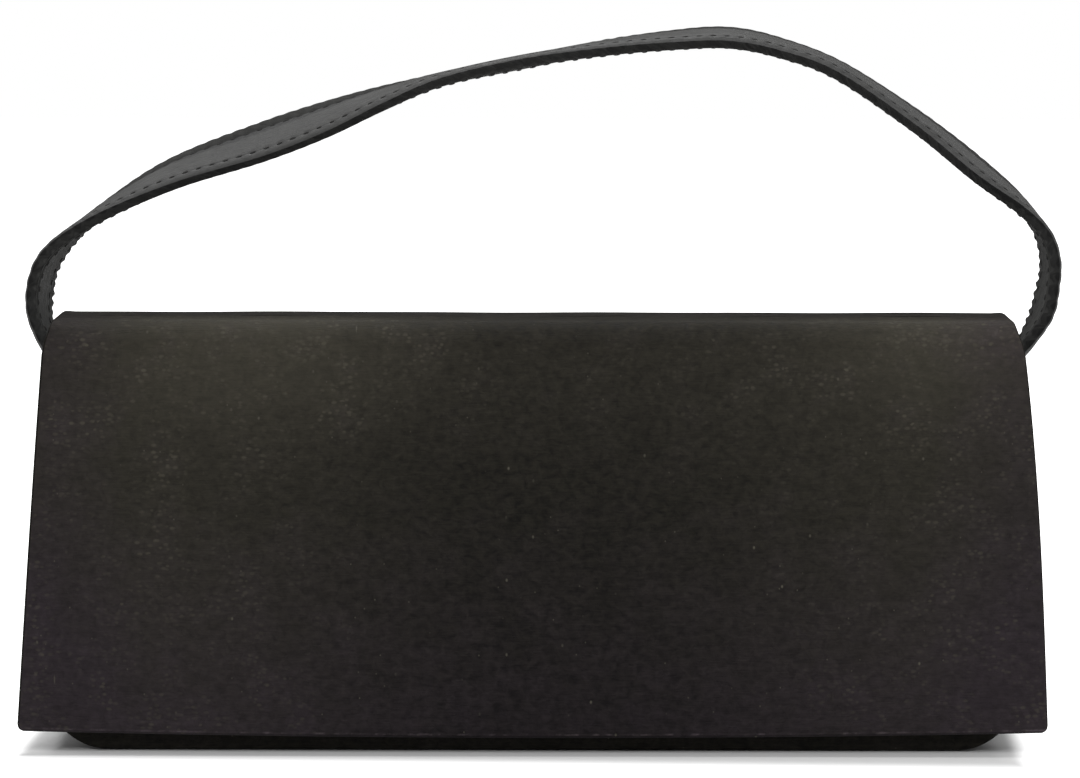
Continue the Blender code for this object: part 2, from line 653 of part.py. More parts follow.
def build_snap(nickel, magnet, washer, pivot, front_cover, front_board, flap_board, flap_lining):
    """The socket on the front panel and the stud on the flap, on one axis square to both."""
    foot = front_place(0, 0, SNAP_HEIGHT, 0)
    normal = Vector((0, FRONT_NORMAL.x, FRONT_NORMAL.y))
    frame = Matrix.Translation(foot) @ Vector((0, 0, 1)).rotation_difference(normal).to_matrix().to_4x4()
    rim = CLEARANCE + SNAP_SOCKET_HEIGHT
    inside = SNAP_RADIUS - SNAP_CUP_WALL
    floor = CLEARANCE + SNAP_CUP_WALL
    cup = (
        (0, -BOARD_IN), (SNAP_SHANK_RADIUS, -BOARD_IN), (SNAP_SHANK_RADIUS, CLEARANCE),
        (SNAP_RADIUS, CLEARANCE), (SNAP_RADIUS, rim), (inside, rim), (inside, floor), (0, floor),
    )
    new_object("snap_socket", turned(cup, frame), nickel, smooth=True)
    ring = ring_profile(SNAP_HOLE_RADIUS, inside - CLEARANCE, floor + CLEARANCE, rim - SNAP_MAGNET_DROP)
    new_object("snap_magnet", turned(ring, frame), magnet, smooth=True)
    hole = SNAP_SHANK_RADIUS + CLEARANCE
    front_washer = ring_profile(hole, SNAP_WASHER_RADIUS, SNAP_WASHER_THICKNESS - BOARD_IN, -BOARD_IN)
    new_object("snap_socket_washer", turned(front_washer, frame), washer, smooth=True)

    plate = FLAP_GAP - CLEARANCE
    tip = plate - SNAP_PLATE_THICKNESS
    shank_end = FLAP_GAP + STACK - BOARD_OUT
    stud = (
        (0, tip - SNAP_STUD_LENGTH), (SNAP_STUD_RADIUS, tip - SNAP_STUD_LENGTH), (SNAP_STUD_RADIUS, tip),
        (SNAP_RADIUS, tip), (SNAP_RADIUS, plate), (SNAP_SHANK_RADIUS, plate),
        (SNAP_SHANK_RADIUS, shank_end), (0, shank_end),
    )
    new_object("snap_stud", turned(stud, frame), nickel, pivot, smooth=True)
    flap_washer = ring_profile(hole, SNAP_WASHER_RADIUS, shank_end - SNAP_WASHER_THICKNESS, shank_end)
    new_object("snap_stud_washer", turned(flap_washer, frame), washer, pivot, smooth=True)

    front_bore = new_object("front_snap_bore", turned(disc_profile(hole, -STACK - PAST, PAST), frame), None)
    cut(front_cover, front_bore)
    cut(front_board, front_bore)
    seat = SNAP_WASHER_RADIUS + CLEARANCE
    recess = disc_profile(seat, -BOARD_IN - PAST, SNAP_WASHER_THICKNESS + CLEARANCE - BOARD_IN)
    cut(front_board, new_object("front_washer_recess", turned(recess, frame), None))
    flap_bore = turned(disc_profile(hole, FLAP_GAP - PAST, FLAP_GAP + STACK - COVER_THICKNESS), frame)
    flap_bore = new_object("flap_snap_bore", flap_bore, None, pivot)
    cut(flap_board, flap_bore)
    cut(flap_lining, flap_bore)
    recess = disc_profile(seat, shank_end - SNAP_WASHER_THICKNESS - CLEARANCE, shank_end + CLEARANCE)
    cut(flap_board, new_object("flap_washer_recess", turned(recess, frame), None, pivot))


def tab_sheet(side):
    """A tab against the back panel's side edge, following the slope of the side, rounded at its foot."""
    low = STRAP_ROOT_HEIGHT - TAB_LENGTH + TAB_HEAD
    high = STRAP_ROOT_HEIGHT + TAB_HEAD
    sections = []
    for height in rounded(low, 1, TAB_END_RADIUS) + [high]:
        near_end = max(TAB_END_RADIUS - (height - low), 0)
        half = TAB_WIDTH / 2 - TAB_END_RADIUS + sqrt(TAB_END_RADIUS**2 - near_end**2)
        seat = body_half_width(height - PANEL_FOOT, 0) + CLEARANCE
        near, far = STRAP_ROOT_DEPTH - half, STRAP_ROOT_DEPTH + half
        sections.append([
            Vector((side * (seat + x), y, height))
            for x, y in ((0, near), (0, far), (TAB_THICKNESS, far), (TAB_THICKNESS, near))
        ])
    return loft(sections)


def build_strap(satin, strap_satin, webbing, pivot):
    for side, name in ((-1, "left"), (1, "right")):
        new_object(name + "_strap_tab", tab_sheet(side), satin)
    thick = STRAP_THICKNESS / 2
    new_object("strap_face", strap_piece(channel_outline()), strap_satin, pivot, smooth=True)
    core = bar_outline(STRAP_SKIN + CLEARANCE - thick, thick - STRAP_SKIN - CLEARANCE)
    new_object("strap_core", strap_piece(core), webbing, pivot, smooth=True)
    backing = bar_outline(-thick, STRAP_SKIN - thick)
    new_object("strap_backing", strap_piece(backing), strap_satin, pivot, smooth=True)


build()
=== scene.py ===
from math import atan2, ceil, cos, exp, pi, radians, sin, sqrt, tan

import bmesh
import bpy
from mathutils import Matrix, Vector


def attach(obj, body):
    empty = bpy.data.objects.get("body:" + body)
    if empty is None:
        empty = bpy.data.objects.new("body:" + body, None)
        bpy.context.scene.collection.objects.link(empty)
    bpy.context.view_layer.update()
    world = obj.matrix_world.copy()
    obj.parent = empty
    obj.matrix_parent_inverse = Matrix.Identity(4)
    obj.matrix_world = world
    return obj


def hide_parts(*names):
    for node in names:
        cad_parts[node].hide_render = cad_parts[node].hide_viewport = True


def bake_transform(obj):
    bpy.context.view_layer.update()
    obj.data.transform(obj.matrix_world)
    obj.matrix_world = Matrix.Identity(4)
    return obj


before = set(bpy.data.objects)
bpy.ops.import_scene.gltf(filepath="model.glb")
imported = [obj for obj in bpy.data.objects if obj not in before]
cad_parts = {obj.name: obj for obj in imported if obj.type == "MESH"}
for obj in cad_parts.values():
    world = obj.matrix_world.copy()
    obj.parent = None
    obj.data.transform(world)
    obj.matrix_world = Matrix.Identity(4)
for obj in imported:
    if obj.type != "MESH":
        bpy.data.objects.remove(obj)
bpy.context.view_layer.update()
scene = bpy.context.scene
for name in ("Cube", "Light", "Camera"):
    if name in bpy.data.objects:
        bpy.data.objects.remove(bpy.data.objects[name])


# The bag's sizes in metres, as the frame has them
bag = {
    "baseDepth": 0.0380, "mouthDepth": 0.0240, "topHeight": 0.1102, "frontPanelDrop": 0.0061,
    "halfWidthTop": 0.1190, "halfWidthBase": 0.1245, "cornerRadius": 0.0160,
    "spineHalfWidth": 0.1215, "foldRadius": 0.0060, "stack": 0.0030, "clearance": 0.0003,
    "flapHalfWidthTop": 0.1243, "flapHalfWidthBottom": 0.1308, "flapCornerRadius": 0.0020,
    "flapLift": 0.0071, "flapShoulder": 0.0066, "flapGap": 0.0034,
    # the dressed flap's own: it hangs longer than the solid, sags less, and its side edges bow outwards
    "flapEase": 0.0013, "flapEdgeSag": 0.0015, "flapBow": (0.0002, 0.0012),
    "gussetInset": 0.0010, "gussetSag": 0.0060, "gussetTopDrop": 0.0015,
}
corner, foldRadius = bag["cornerRadius"], bag["foldRadius"]
lean = atan2((bag["baseDepth"] - bag["mouthDepth"]) / 2, bag["topHeight"] - foldRadius)
panelFoot = bag["stack"] * sin(lean)
backLength = (bag["topHeight"] - foldRadius * (1 - sin(lean)) - panelFoot) / cos(lean)
frontLength = backLength - bag["frontPanelDrop"]
flapLength = backLength - bag["flapLift"]
foldArc = foldRadius * (pi / 2 - lean)
backFold = Vector((
    bag["baseDepth"] / 2 - backLength * sin(lean) - foldRadius * cos(lean), bag["topHeight"] - foldRadius,
))
frontNormal = Vector((-cos(lean), sin(lean)))
frontFoot = Vector((-bag["baseDepth"] / 2, panelFoot))
spineLength = (
    bag["flapGap"] + bag["stack"] - foldRadius - (backFold - frontFoot).dot(frontNormal)
) / cos(lean)
frontFold = backFold - Vector((spineLength, 0))
spineStart = backLength + foldArc
spineEnd = spineStart + spineLength
flapStart = spineEnd + foldArc
flapEnd = flapStart + flapLength
spineMiddle = (spineStart + spineEnd) / 2


# Stations along a line

def spread(start, end, steps):
    return [start + (end - start) * step / steps for step in range(steps + 1)]


def chain(start, *legs):
    # legs are where each stretch ends and how many steps it takes
    places = [start]
    for end, steps in legs:
        places += spread(start, end, steps)[1:]
        start = end
    return places


def easedIn(start, end, steps):
    # closer together at the start, as round a quarter circle
    return [start + (end - start) * (1 - cos(turn)) for turn in spread(0, pi / 2, steps)]


def smoothStep(value, low, high):
    share = min(max((value - low) / (high - low), 0), 1)
    return share * share * (3 - 2 * share)


def rounded(radius, left):
    # how far a rounded corner cuts in, this far from its end
    return radius - sqrt(max(radius**2 - (radius - left) ** 2, 0)) if left < radius else 0


# Where the cloth lies

def frontPlace(x, share, along, depth):
    # front panel, measured up from its foot
    y, z = frontFoot + along * Vector((sin(lean), cos(lean))) - depth * frontNormal
    return Vector((x, y, z))


def wrapLine(along):
    # outer line of the back, spine and flap: point and outward normal in y and z
    if along <= backLength:
        foot = Vector((bag["baseDepth"] / 2, panelFoot))
        return foot + along * Vector((-sin(lean), cos(lean))), Vector((cos(lean), sin(lean)))
    if along < spineStart:
        centre, turn = backFold, lean + (along - backLength) / foldRadius
    elif along <= spineEnd:
        centre, turn = backFold - Vector((along - spineStart, 0)), pi / 2
    elif along < flapStart:
        centre, turn = frontFold, pi / 2 + (along - spineEnd) / foldRadius
    else:
        centre, turn = frontFold - (along - flapStart) * Vector((sin(lean), cos(lean))), pi - lean
    normal = Vector((cos(turn), sin(turn)))
    return centre + foldRadius * normal, normal


def wrapPlace(x, share, along, depth):
    if along > flapStart:
        down = (along - flapStart) / flapLength
        leftBow, rightBow = bag["flapBow"]
        along += (bag["flapEase"] + bag["flapEdgeSag"] * (1 - share**2)) * down
        x += (rightBow if share > 0 else leftBow) * share * abs(share) * sin(pi * down**0.8)
    point, normal = wrapLine(along)
    y, z = point - normal * depth
    return Vector((x, y, z))


def bodyHalfWidth(along):
    base, top = bag["halfWidthBase"], bag["halfWidthTop"]
    if along < corner:
        return base - rounded(corner, along)
    return base + (top - base) * (along - corner) / (backLength - corner)


def wrapHalfWidth(along):
    if along <= backLength:
        return bodyHalfWidth(along)
    drop = bag["topHeight"] - wrapLine(along)[0].y
    spine, shoulder = bag["spineHalfWidth"], bag["flapShoulder"]
    if along < spineEnd:
        full = bag["topHeight"] - wrapLine(backLength)[0].y
        return spine + (bag["halfWidthTop"] - spine) * drop / full
    top, bottom = bag["flapHalfWidthTop"], bag["flapHalfWidthBottom"]
    if drop < shoulder:
        return spine + (top - spine) * drop / shoulder
    half = top + (bottom - top) * (drop - shoulder) / (flapLength - shoulder)
    return half - rounded(bag["flapCornerRadius"], flapEnd - along)


def innerDepth(height):
    # half depth of the inside at a height
    return bag["baseDepth"] / 2 - (height - panelFoot) * tan(lean) - bag["stack"] / cos(lean)


# Meshes from rows of points

def newObject(name, data):
    piece = bpy.data.objects.new(name, data)
    scene.collection.objects.link(piece)
    return piece


def newMesh(name, build):
    mesh = bpy.data.meshes.new(name)
    build.to_mesh(mesh)
    build.free()
    return mesh


def newPiece(name, mesh, surface, sharpAngle=55):
    piece = newObject(name, mesh)
    mesh.materials.append(surface)
    mesh.shade_smooth()
    mesh.set_sharp_from_angle(angle=radians(sharpAngle))
    return piece


def thicken(piece, thickness, offset):
    wall = piece.modifiers.new("clothThickness", "SOLIDIFY")
    wall.thickness, wall.offset = thickness, offset
    return piece


def skin(name, rows, surface, loop=True, caps=True, sharpAngle=55, middle=None, second=None):
    # cloth over rows of points; loop joins each row's ends, caps close the first and last row;
    # second is another surface and the columns that it covers
    build = bmesh.new()
    cloth = build.loops.layers.uv.new("clothMm")
    grid = [[build.verts.new(point) for point in row] for row in rows]
    count = len(rows[0])
    middle = middle or (count // 4 if loop else count // 2)
    runs, along = [], [0.0]
    for row in rows:
        run = [0.0]
        for a, b in zip(row, row[1:] + row[:1]):
            run.append(run[-1] + (b - a).length * 1000)
        runs.append([value - run[middle] for value in run])
    for near, far in zip(rows, rows[1:]):
        along.append(along[-1] + (far[middle] - near[middle]).length * 1000)
    for i in range(len(rows) - 1):
        for j in range(count if loop else count - 1):
            k = (j + 1) % count
            face = build.faces.new((grid[i][j], grid[i][k], grid[i + 1][k], grid[i + 1][j]))
            face.material_index = 1 if second and j in second[1] else 0
            places = ((i, j), (i, j + 1), (i + 1, j + 1), (i + 1, j))
            for point, (row, column) in zip(face.loops, places):
                point[cloth].uv = (runs[row][column], along[row])
    if loop and caps:
        for row in (grid[0], grid[-1]):
            for i in range((count - 1) // 2):
                # the middle one of an odd row is a triangle
                around = (row[i], row[i + 1], row[count - 2 - i], row[count - 1 - i])
                build.faces.new(list(dict.fromkeys(around)))
    bmesh.ops.remove_doubles(build, verts=build.verts, dist=1e-6)
    bmesh.ops.recalc_face_normals(build, faces=build.faces)
    piece = newPiece(name, newMesh(name, build), surface, sharpAngle)
    if second:
        piece.data.materials.append(second[0])
    return piece


def envelope(name, place, outline, start, end, surface, look):
    # a closed cover round a flat or folded panel, its edges rolled round; start and end are
    # places along it and whether the cover is rolled round there; puff and slack are how far
    # its outer and its inner side stand off the panel
    roll, outer, inner, inset = look["roll"], look["outer"], look["inner"], look["inset"]
    steps, columns, shoulder = look["rollSteps"], look["columns"], look["shoulder"]
    (low, rollLow), (high, rollHigh) = start, end
    stations = [(along, 0.0) for along in look["stops"](low + rollLow * roll, high - rollHigh * roll)]
    turns = spread(0, pi / 2, steps)[1:]
    if rollLow:
        stations = [(low + roll - roll * sin(turn), turn) for turn in reversed(turns)] + stations
    if rollHigh:
        stations += [(high - roll + roll * sin(turn), turn) for turn in turns]
    rows = []
    for along, turn in stations:
        half = outline(along) - inset
        shrink, sunk = roll * cos(turn), roll - roll * cos(turn)
        front, back = [], []
        for share in spread(-1, 1, columns):
            x = share * (1.5 - 0.5 * share**2) * (half - shrink)
            lifts = [look[key](x, along, half - abs(x)) * cos(turn) for key in ("puff", "slack")]
            front.append((x, outer + sunk - lifts[0]))
            back.append((x, inner - sunk + lifts[1]))
        upper = [
            (half - shrink + shrink * sin(t), outer + sunk + (roll - sunk) * (1 - cos(t))) for t in turns
        ]
        lower = [(x, inner - (depth - outer)) for x, depth in upper]
        above, below = (
            [(-x, depth) for x, depth in reversed(side)] + between + side
            for side, between in ((upper, front), (lower, back))
        )
        rows.append([place(x, x / (half + inset), along, depth) for x, depth in above + below[::-1]])
    second = None
    if look["turned"]:
        # the cloth past the shoulder of each rolled side, and the whole inner side
        keep = range(steps - shoulder, steps + 1 + columns + shoulder)
        second = look["turned"], [column for column in range(len(rows[0])) if column not in keep]
    return skin(name, rows, surface, middle=steps + columns // 2, second=second)


# Materials

def linear(code):
    # sRGB hex to the linear colour that the shaders take
    parts = [int(code[i:i + 2], 16) / 255 for i in (1, 3, 5)]
    return [p / 12.92 if p <= 0.04045 else ((p + 0.055) / 1.055) ** 2.4 for p in parts] + [1.0]


def addNode(tree, kind, inputs, output=0, **settings):
    # a new node, its inputs by name or in order, each linked or set (a hex colour made linear);
    # gives back one of its outputs
    node = tree.nodes.new(kind)
    for key, value in settings.items():
        setattr(node, key, value)
    for key, value in inputs.items() if isinstance(inputs, dict) else enumerate(inputs):
        if isinstance(value, bpy.types.NodeSocket):
            tree.links.new(value, node.inputs[key])
        else:
            isColour = isinstance(value, str) and value.startswith("#")
            node.inputs[key].default_value = linear(value) if isColour else value
    return node.outputs[output] if node.outputs else None


def newMaterial(name):
    surface = bpy.data.materials.new(name)
    surface.use_nodes = True
    surface.node_tree.nodes.clear()
    return surface, surface.node_tree


def shade(tree, values, colour, rough, relief=None, strength=0.0, depth=0.0):
    # the material's one shader, with a relief as its bump
    values = dict(values, **{"Base Color": colour, "Roughness": rough})
    if relief:
        values["Normal"] = addNode(tree, "ShaderNodeBump", {
            "Strength": strength, "Distance": depth, "Height": relief,
        })
    shader = addNode(tree, "ShaderNodeBsdfPrincipled", values)
    addNode(tree, "ShaderNodeOutputMaterial", {"Surface": shader})


def toned(tree, look, tone, uneven):
    # the colour, from dark to light by tone, and the roughness
    colour = addNode(tree, "ShaderNodeMix", {
        "Factor": tone, 6: look["dark"], 7: look["light"],
    }, 2, data_type="RGBA")
    return colour, addNode(
        tree, "ShaderNodeMath", (uneven, look["roughSpread"], look["roughness"]), operation="MULTIPLY_ADD"
    )


def satin(name, look):
    # Polyester satin, woven with long floats: smooth, with a soft sheen and slight slubs.
    # Its floats are about 0.12 mm wide, drawn two to three times as wide so that they show.
    surface, tree = newMaterial(name)
    cloth = addNode(tree, "ShaderNodeUVMap", {}, uv_map="clothMm")
    place = addNode(tree, "ShaderNodeSeparateXYZ", {"Vector": cloth}).node.outputs
    turned = addNode(tree, "ShaderNodeMapping", {
        "Vector": cloth, "Rotation": (0, 0, radians(look["turnDegrees"])),
    })
    weave = addNode(tree, "ShaderNodeTexBrick", {
        "Vector": turned, "Color1": (0, 0, 0, 1), "Color2": (1, 1, 1, 1), "Mortar": (0.3, 0.3, 0.3, 1),
        "Scale": 1.0, "Mortar Size": look["floatWidth"] * 0.12, "Mortar Smooth": 1.0,
        "Brick Width": look["floatLength"], "Row Height": look["floatWidth"],
    }, "Color", offset=0.4, offset_frequency=2)
    stretched = addNode(tree, "ShaderNodeMapping", {"Vector": turned, "Scale": look["slubStretch"]})
    slub = addNode(tree, "ShaderNodeTexNoise", {
        "Vector": stretched, "Scale": look["slubScale"], "Detail": 5.0, "Roughness": 0.62, "Distortion": 0.5,
    })
    slub = addNode(tree, "ShaderNodeMapRange", {"Value": slub, "From Min": 0.3, "From Max": 0.7})
    cloud = addNode(tree, "ShaderNodeTexNoise", {
        "Vector": cloth, "Scale": 0.09, "Detail": 3.0, "Roughness": 0.6,
    })
    # worn flecks, gathered in clusters
    fleck = addNode(tree, "ShaderNodeTexNoise", {
        "Vector": cloth, "Scale": 0.55, "Detail": 3.0, "Roughness": 0.6, "Distortion": 0.25,
    })
    fleck = addNode(tree, "ShaderNodeMapRange", {"Value": fleck, "From Min": 0.52, "From Max": 0.72})
    gather = addNode(tree, "ShaderNodeMapRange", {"Value": cloud, "From Min": 0.42, "From Max": 0.66})
    fleck = addNode(tree, "ShaderNodeMath", (fleck, gather), operation="MULTIPLY")
    # painted sheen and painted shade from the look's ramps and patches, and how they fade in
    paintedLight, fade = paintedSheenAndShade(tree, cloth, place, fleck, look)
    tone = look["lift"]
    layers = [
        (weave, look["thread"]), (slub, look["slub"]), (cloud, look["cloud"]), (fleck, look["fleck"]),
        (paintedLight, fade),
    ]
    # a painted highlight along the hem's lip, lighter where it is worn
    if look["hem"]:
        layers.append(hemHighlightAndWear(tree, cloth, place, look["hem"]))
    for part, weight in layers:
        tone = addNode(tree, "ShaderNodeMath", (part, weight, tone), operation="MULTIPLY_ADD")
    # the black turns from a warm one to a cooler one, down the cloth and towards its sides
    warm, cool = look["cooler"]
    drift = addNode(tree, "ShaderNodeMapRange", {"Value": place["Y"], "From Min": warm, "From Max": cool})
    drift = addNode(tree, "ShaderNodeMath", (cloud, 0.8, drift), operation="MULTIPLY_ADD")
    drift = addNode(tree, "ShaderNodeMath", (drift, 0.4), operation="SUBTRACT")
    if look["coolSides"]:
        begin, full, amount = look["coolSides"]
        aside = addNode(tree, "ShaderNodeMath", (place["X"],), operation="ABSOLUTE")
        aside = addNode(tree, "ShaderNodeMapRange", {
            "Value": aside, "From Min": begin, "From Max": full, "To Max": amount,
        })
        drift = addNode(tree, "ShaderNodeMath", (aside, drift), operation="ADD", use_clamp=True)
    dark, light = (
        addNode(tree, "ShaderNodeMix", {"Factor": drift, 6: warm, 7: cool}, 2, data_type="RGBA")
        for warm, cool in (look["dark"], look["light"])
    )
    colour, rough = toned(tree, dict(look, dark=dark, light=light), tone, slub)
    for speck in look["lint"]:
        spot = lint(tree, cloth, speck)
        if "crowded" in speck:
            # these worn specks gather where sheen is painted
            gain, offset = speck["crowded"]
            crowd = addNode(
                tree, "ShaderNodeMath", (paintedLight, gain, offset), operation="MULTIPLY_ADD", use_clamp=True
            )
            for part in (gather, crowd):
                spot = addNode(tree, "ShaderNodeMath", (spot, part), operation="MULTIPLY")
        colour = addNode(tree, "ShaderNodeMix", {
            "Factor": spot, 6: colour, 7: speck["colour"],
        }, 2, data_type="RGBA")
    # the gloss fades where the cloth is seen nearly edge on
    edgeOn = addNode(tree, "ShaderNodeLayerWeight", {"Blend": 0.5}, "Facing")
    rough = addNode(tree, "ShaderNodeMapRange", {
        "Value": edgeOn, "From Min": 0.6, "From Max": 0.95, "To Min": rough, "To Max": 1.0,
    })
    relief = weave
    for part, height in ((slub, 1.6), (cloud, 1.2)):
        relief = addNode(tree, "ShaderNodeMath", (part, height, relief), operation="MULTIPLY_ADD")
    values = {"IOR": 1.5, "Specular IOR Level": look["specular"]}
    shade(tree, values, colour, rough, relief, look["bump"], look["bumpDepth"])
    return surface


def paintedSheenAndShade(tree, cloth, place, fleck, look):
    # how much lighter the cloth is painted as sheen, and darker as shade, and how that fades in along it
    paintedLight = 0.0
    for across, along, reachAcross, reachAlong, amount in look["paintedPatches"]:
        # a patch of painted sheen or, if negative, shade; its middle and reach in mm, broken up by flecks
        near = addNode(tree, "ShaderNodeMapping", {
            "Vector": cloth, "Scale": (1 / reachAcross, 1 / reachAlong, 1),
            "Location": (-across / reachAcross, -along / reachAlong, 0),
        })
        near = addNode(tree, "ShaderNodeTexGradient", {"Vector": near}, "Fac", gradient_type="SPHERICAL")
        worn = addNode(tree, "ShaderNodeMath", (fleck, 1.2, 1.0), operation="MULTIPLY_ADD")
        near = addNode(tree, "ShaderNodeMath", (near, worn), operation="MULTIPLY")
        paintedLight = addNode(tree, "ShaderNodeMath", (near, amount, paintedLight), operation="MULTIPLY_ADD")
    for axis, start, end, amount in look["paintedLight"]:
        # painted sheen, or shade if negative, from start to end in millimetres across (X) or along (Y)
        sheen = addNode(tree, "ShaderNodeMapRange", {
            "Value": place[axis], "From Min": start, "From Max": end, "To Max": amount,
        }, interpolation_type="SMOOTHSTEP")
        paintedLight = addNode(tree, "ShaderNodeMath", (sheen, paintedLight), operation="ADD")
    begin, full = look["paintedLightFrom"]
    return paintedLight, addNode(tree, "ShaderNodeMapRange", {
        "Value": place["Y"], "From Min": begin, "From Max": full,
    })


def hemHighlightAndWear(tree, cloth, place, hem):
    # a painted highlight on the lip along the hem, and how much lighter it is worn in places
    middle, reach, amount = hem
    away = addNode(tree, "ShaderNodeMath", (place["Y"], middle), operation="SUBTRACT")
    away = addNode(tree, "ShaderNodeMath", (away,), operation="ABSOLUTE")
    lip = addNode(tree, "ShaderNodeMapRange", {
        "Value": away, "From Min": reach, "From Max": 0.0, "To Max": amount,
    }, interpolation_type="SMOOTHSTEP")
    worn = addNode(tree, "ShaderNodeTexNoise", {
        "Vector": cloth, "Scale": 0.3, "Detail": 3.0, "Roughness": 0.7,
    })
    return lip, addNode(tree, "ShaderNodeMapRange", {
        "Value": worn, "From Min": 0.5, "From Max": 0.68, "To Min": 0.3, "To Max": 2.6,
    })


def lint(tree, cloth, speck):
    # specks of dust and short lifted fibres, scattered over the cloth
    point = addNode(tree, "ShaderNodeMapping", {
        "Vector": cloth, "Scale": (1, speck["stretch"], 1), "Rotation": (0, 0, radians(speck["turnDegrees"])),
    })
    cells = addNode(tree, "ShaderNodeTexVoronoi", {
        "Vector": point, "Scale": 1 / speck["apartMm"], "Randomness": 1.0,
    }, voronoi_dimensions="2D").node.outputs
    reach = speck["sizeMm"] / speck["apartMm"] / 2
    spot = addNode(tree, "ShaderNodeMapRange", {
        "Value": cells["Distance"], "From Min": reach, "From Max": reach * 0.3,
    }, interpolation_type="SMOOTHSTEP")
    chance = addNode(tree, "ShaderNodeSeparateColor", {"Color": cells["Color"]}).node.outputs
    chosen = addNode(tree, "ShaderNodeMath", (chance[0], speck["share"]), operation="LESS_THAN")
    for part in (chosen, chance[1]):
        spot = addNode(tree, "ShaderNodeMath", (spot, part), operation="MULTIPLY")
    return spot


# dark and light are each a warm and a cool tint
satinLook = {
    "turnDegrees": 0, "specular": 0.05, "floatWidth": 0.32, "floatLength": 2.2,
    "slubScale": 0.5, "slubStretch": (0.8, 1.0, 1),
    "thread": 0.06, "slub": 0.22, "cloud": 0.17, "fleck": 0.09, "lift": -0.12,
    "paintedPatches": (), "paintedLight": (), "paintedLightFrom": (-2, -1), "hem": None,
    "cooler": (-100, 1000), "coolSides": None,
    "dark": ("#0c0b09", "#0d0a0c"), "light": ("#47443b", "#453e42"),
    "roughness": 0.42, "roughSpread": 0.2, "bump": 0.5, "bumpDepth": 0.00012, "lint": (),
}
dust = (
    {"apartMm": 7.0, "sizeMm": 0.8, "share": 0.12, "stretch": 0.7, "turnDegrees": 0, "colour": "#4c4941"},
    {"apartMm": 3.2, "sizeMm": 0.5, "share": 0.10, "stretch": 0.8, "turnDegrees": 40, "colour": "#45423b"},
    {"apartMm": 9.0, "sizeMm": 0.5, "share": 0.12, "stretch": 0.16, "turnDegrees": 57, "colour": "#45423b"},
)
wornSpots = (
    {
        "apartMm": 2.4, "sizeMm": 1.9, "share": 0.5, "stretch": 1.6, "turnDegrees": 8,
        "colour": "#47443b", "crowded": (4.0, -0.15),
    },
    {
        "apartMm": 1.7, "sizeMm": 1.3, "share": 0.4, "stretch": 1.3, "turnDegrees": -14,
        "colour": "#454239", "crowded": (4.0, -0.15),
    },
)
bagSatin = satin("matteBlackSatin", dict(satinLook, lint=dust))
# painted sheen over the fold, painted light to both sides, painted shade atop the fold and at its far left
flapSatin = satin("wornBlackSatinPaintedSheen", dict(
    satinLook, lint=dust + wornSpots,
    paintedLight=(("X", 15, 115, 0.17), ("X", -5, -95, 0.17), ("Y", 60, 20, 0.13), ("Y", 20, 12, -0.08)),
    paintedPatches=((-64, 12, 56, 34, 0.26), (101, 9, 38, 30, 0.25), (-124, 10, 34, 34, -0.12)),
    # the hem's lip takes a painted highlight
    paintedLightFrom=(0, 13), cooler=(55, 125), coolSides=(98, 122, 0.5), hem=(117.7, 0.5, 0.34),
))
# Strap satin's face: pressed flat and shinier, drawn lighter than on the edges as a lit copy of the satin
# a painted highlight runs along its front rim, and painted shade lies on its back margin near the left end
strapSatin = satin("litStrapFaceSatin", dict(
    satinLook, turnDegrees=90, specular=0.26, floatWidth=0.26, floatLength=1.8,
    slubScale=0.8, slubStretch=(0.35, 1.0, 1), thread=0.2, slub=0.45, cloud=0.3, fleck=0.0, lift=0.0,
    paintedLight=(("X", -4.4, -4.9, 0.7),), paintedPatches=((5.4, 104, 3.4, 64, -2.6),),
    dark=("#1f1f1f", "#1f1f1f"), light=("#464645", "#464645"), roughness=0.38, bump=0.4,
))
# The same satin on the strap's inner side, never pressed: dull and darker
innerSatin = satin("creasedBlackSatin", dict(
    satinLook, turnDegrees=90, specular=0.10, thread=0.2, slub=0.6, cloud=0.4, fleck=0.3, lift=-0.2,
    dark=("#141414", "#141414"), light=("#3f3f3d", "#3f3f3d"), roughness=0.5,
))
# Bag satin where it turns round the board's edges, a darker copy: painted shade along the rolled edges
shadedTurnedSatin = satin("shadedTurnedBagSatin", dict(satinLook, specular=0.03, roughness=0.6, lift=-0.18))
# Strap satin where it turns round the webbing's edges, on the bias: a darker copy, painted shade
# painted shade along the top of the front side, under its rim, and painted light over the rest of the edges
shadedEdgeSatin = satin("shadedStrapEdgeSatin", dict(
    satinLook, turnDegrees=55, floatWidth=0.62, floatLength=6.0, specular=0.08,
    thread=0.4, slub=0.3, cloud=0.2, fleck=0.0, lift=-0.1,
    paintedLight=(("X", 24.6, 25.4, -0.5), ("X", 23.4, 22.8, 0.5)),
    dark=("#0a0a0a", "#0a0a0a"), light=("#2c2c2b", "#2c2c2b"), roughness=0.5,
))


def plainWeave(name, look):
    # Woven polyester lining: crossed threads with a faint sheen, drawn about twice their 0.2 mm
    surface, tree = newMaterial(name)
    cloth = addNode(tree, "ShaderNodeUVMap", {}, uv_map="clothMm")
    pitch = [2 * pi / look["threadPitch"]] * 3
    turned = addNode(tree, "ShaderNodeVectorMath", (cloth, pitch), operation="MULTIPLY")
    waves = addNode(tree, "ShaderNodeVectorMath", (turned,), operation="SINE")
    crossed = addNode(tree, "ShaderNodeSeparateXYZ", {"Vector": waves}).node.outputs
    weave = addNode(tree, "ShaderNodeMath", (crossed["X"], crossed["Y"]), operation="MULTIPLY")
    grain = addNode(tree, "ShaderNodeTexNoise", {
        "Vector": cloth, "Scale": 0.5, "Detail": 4.0, "Roughness": 0.6,
    })
    tone = addNode(tree, "ShaderNodeMath", (weave, 0.25, grain), operation="MULTIPLY_ADD")
    colour, rough = toned(tree, look, tone, grain)
    shade(tree, look["values"], colour, rough, tone, look["bump"], 0.0001)
    return surface


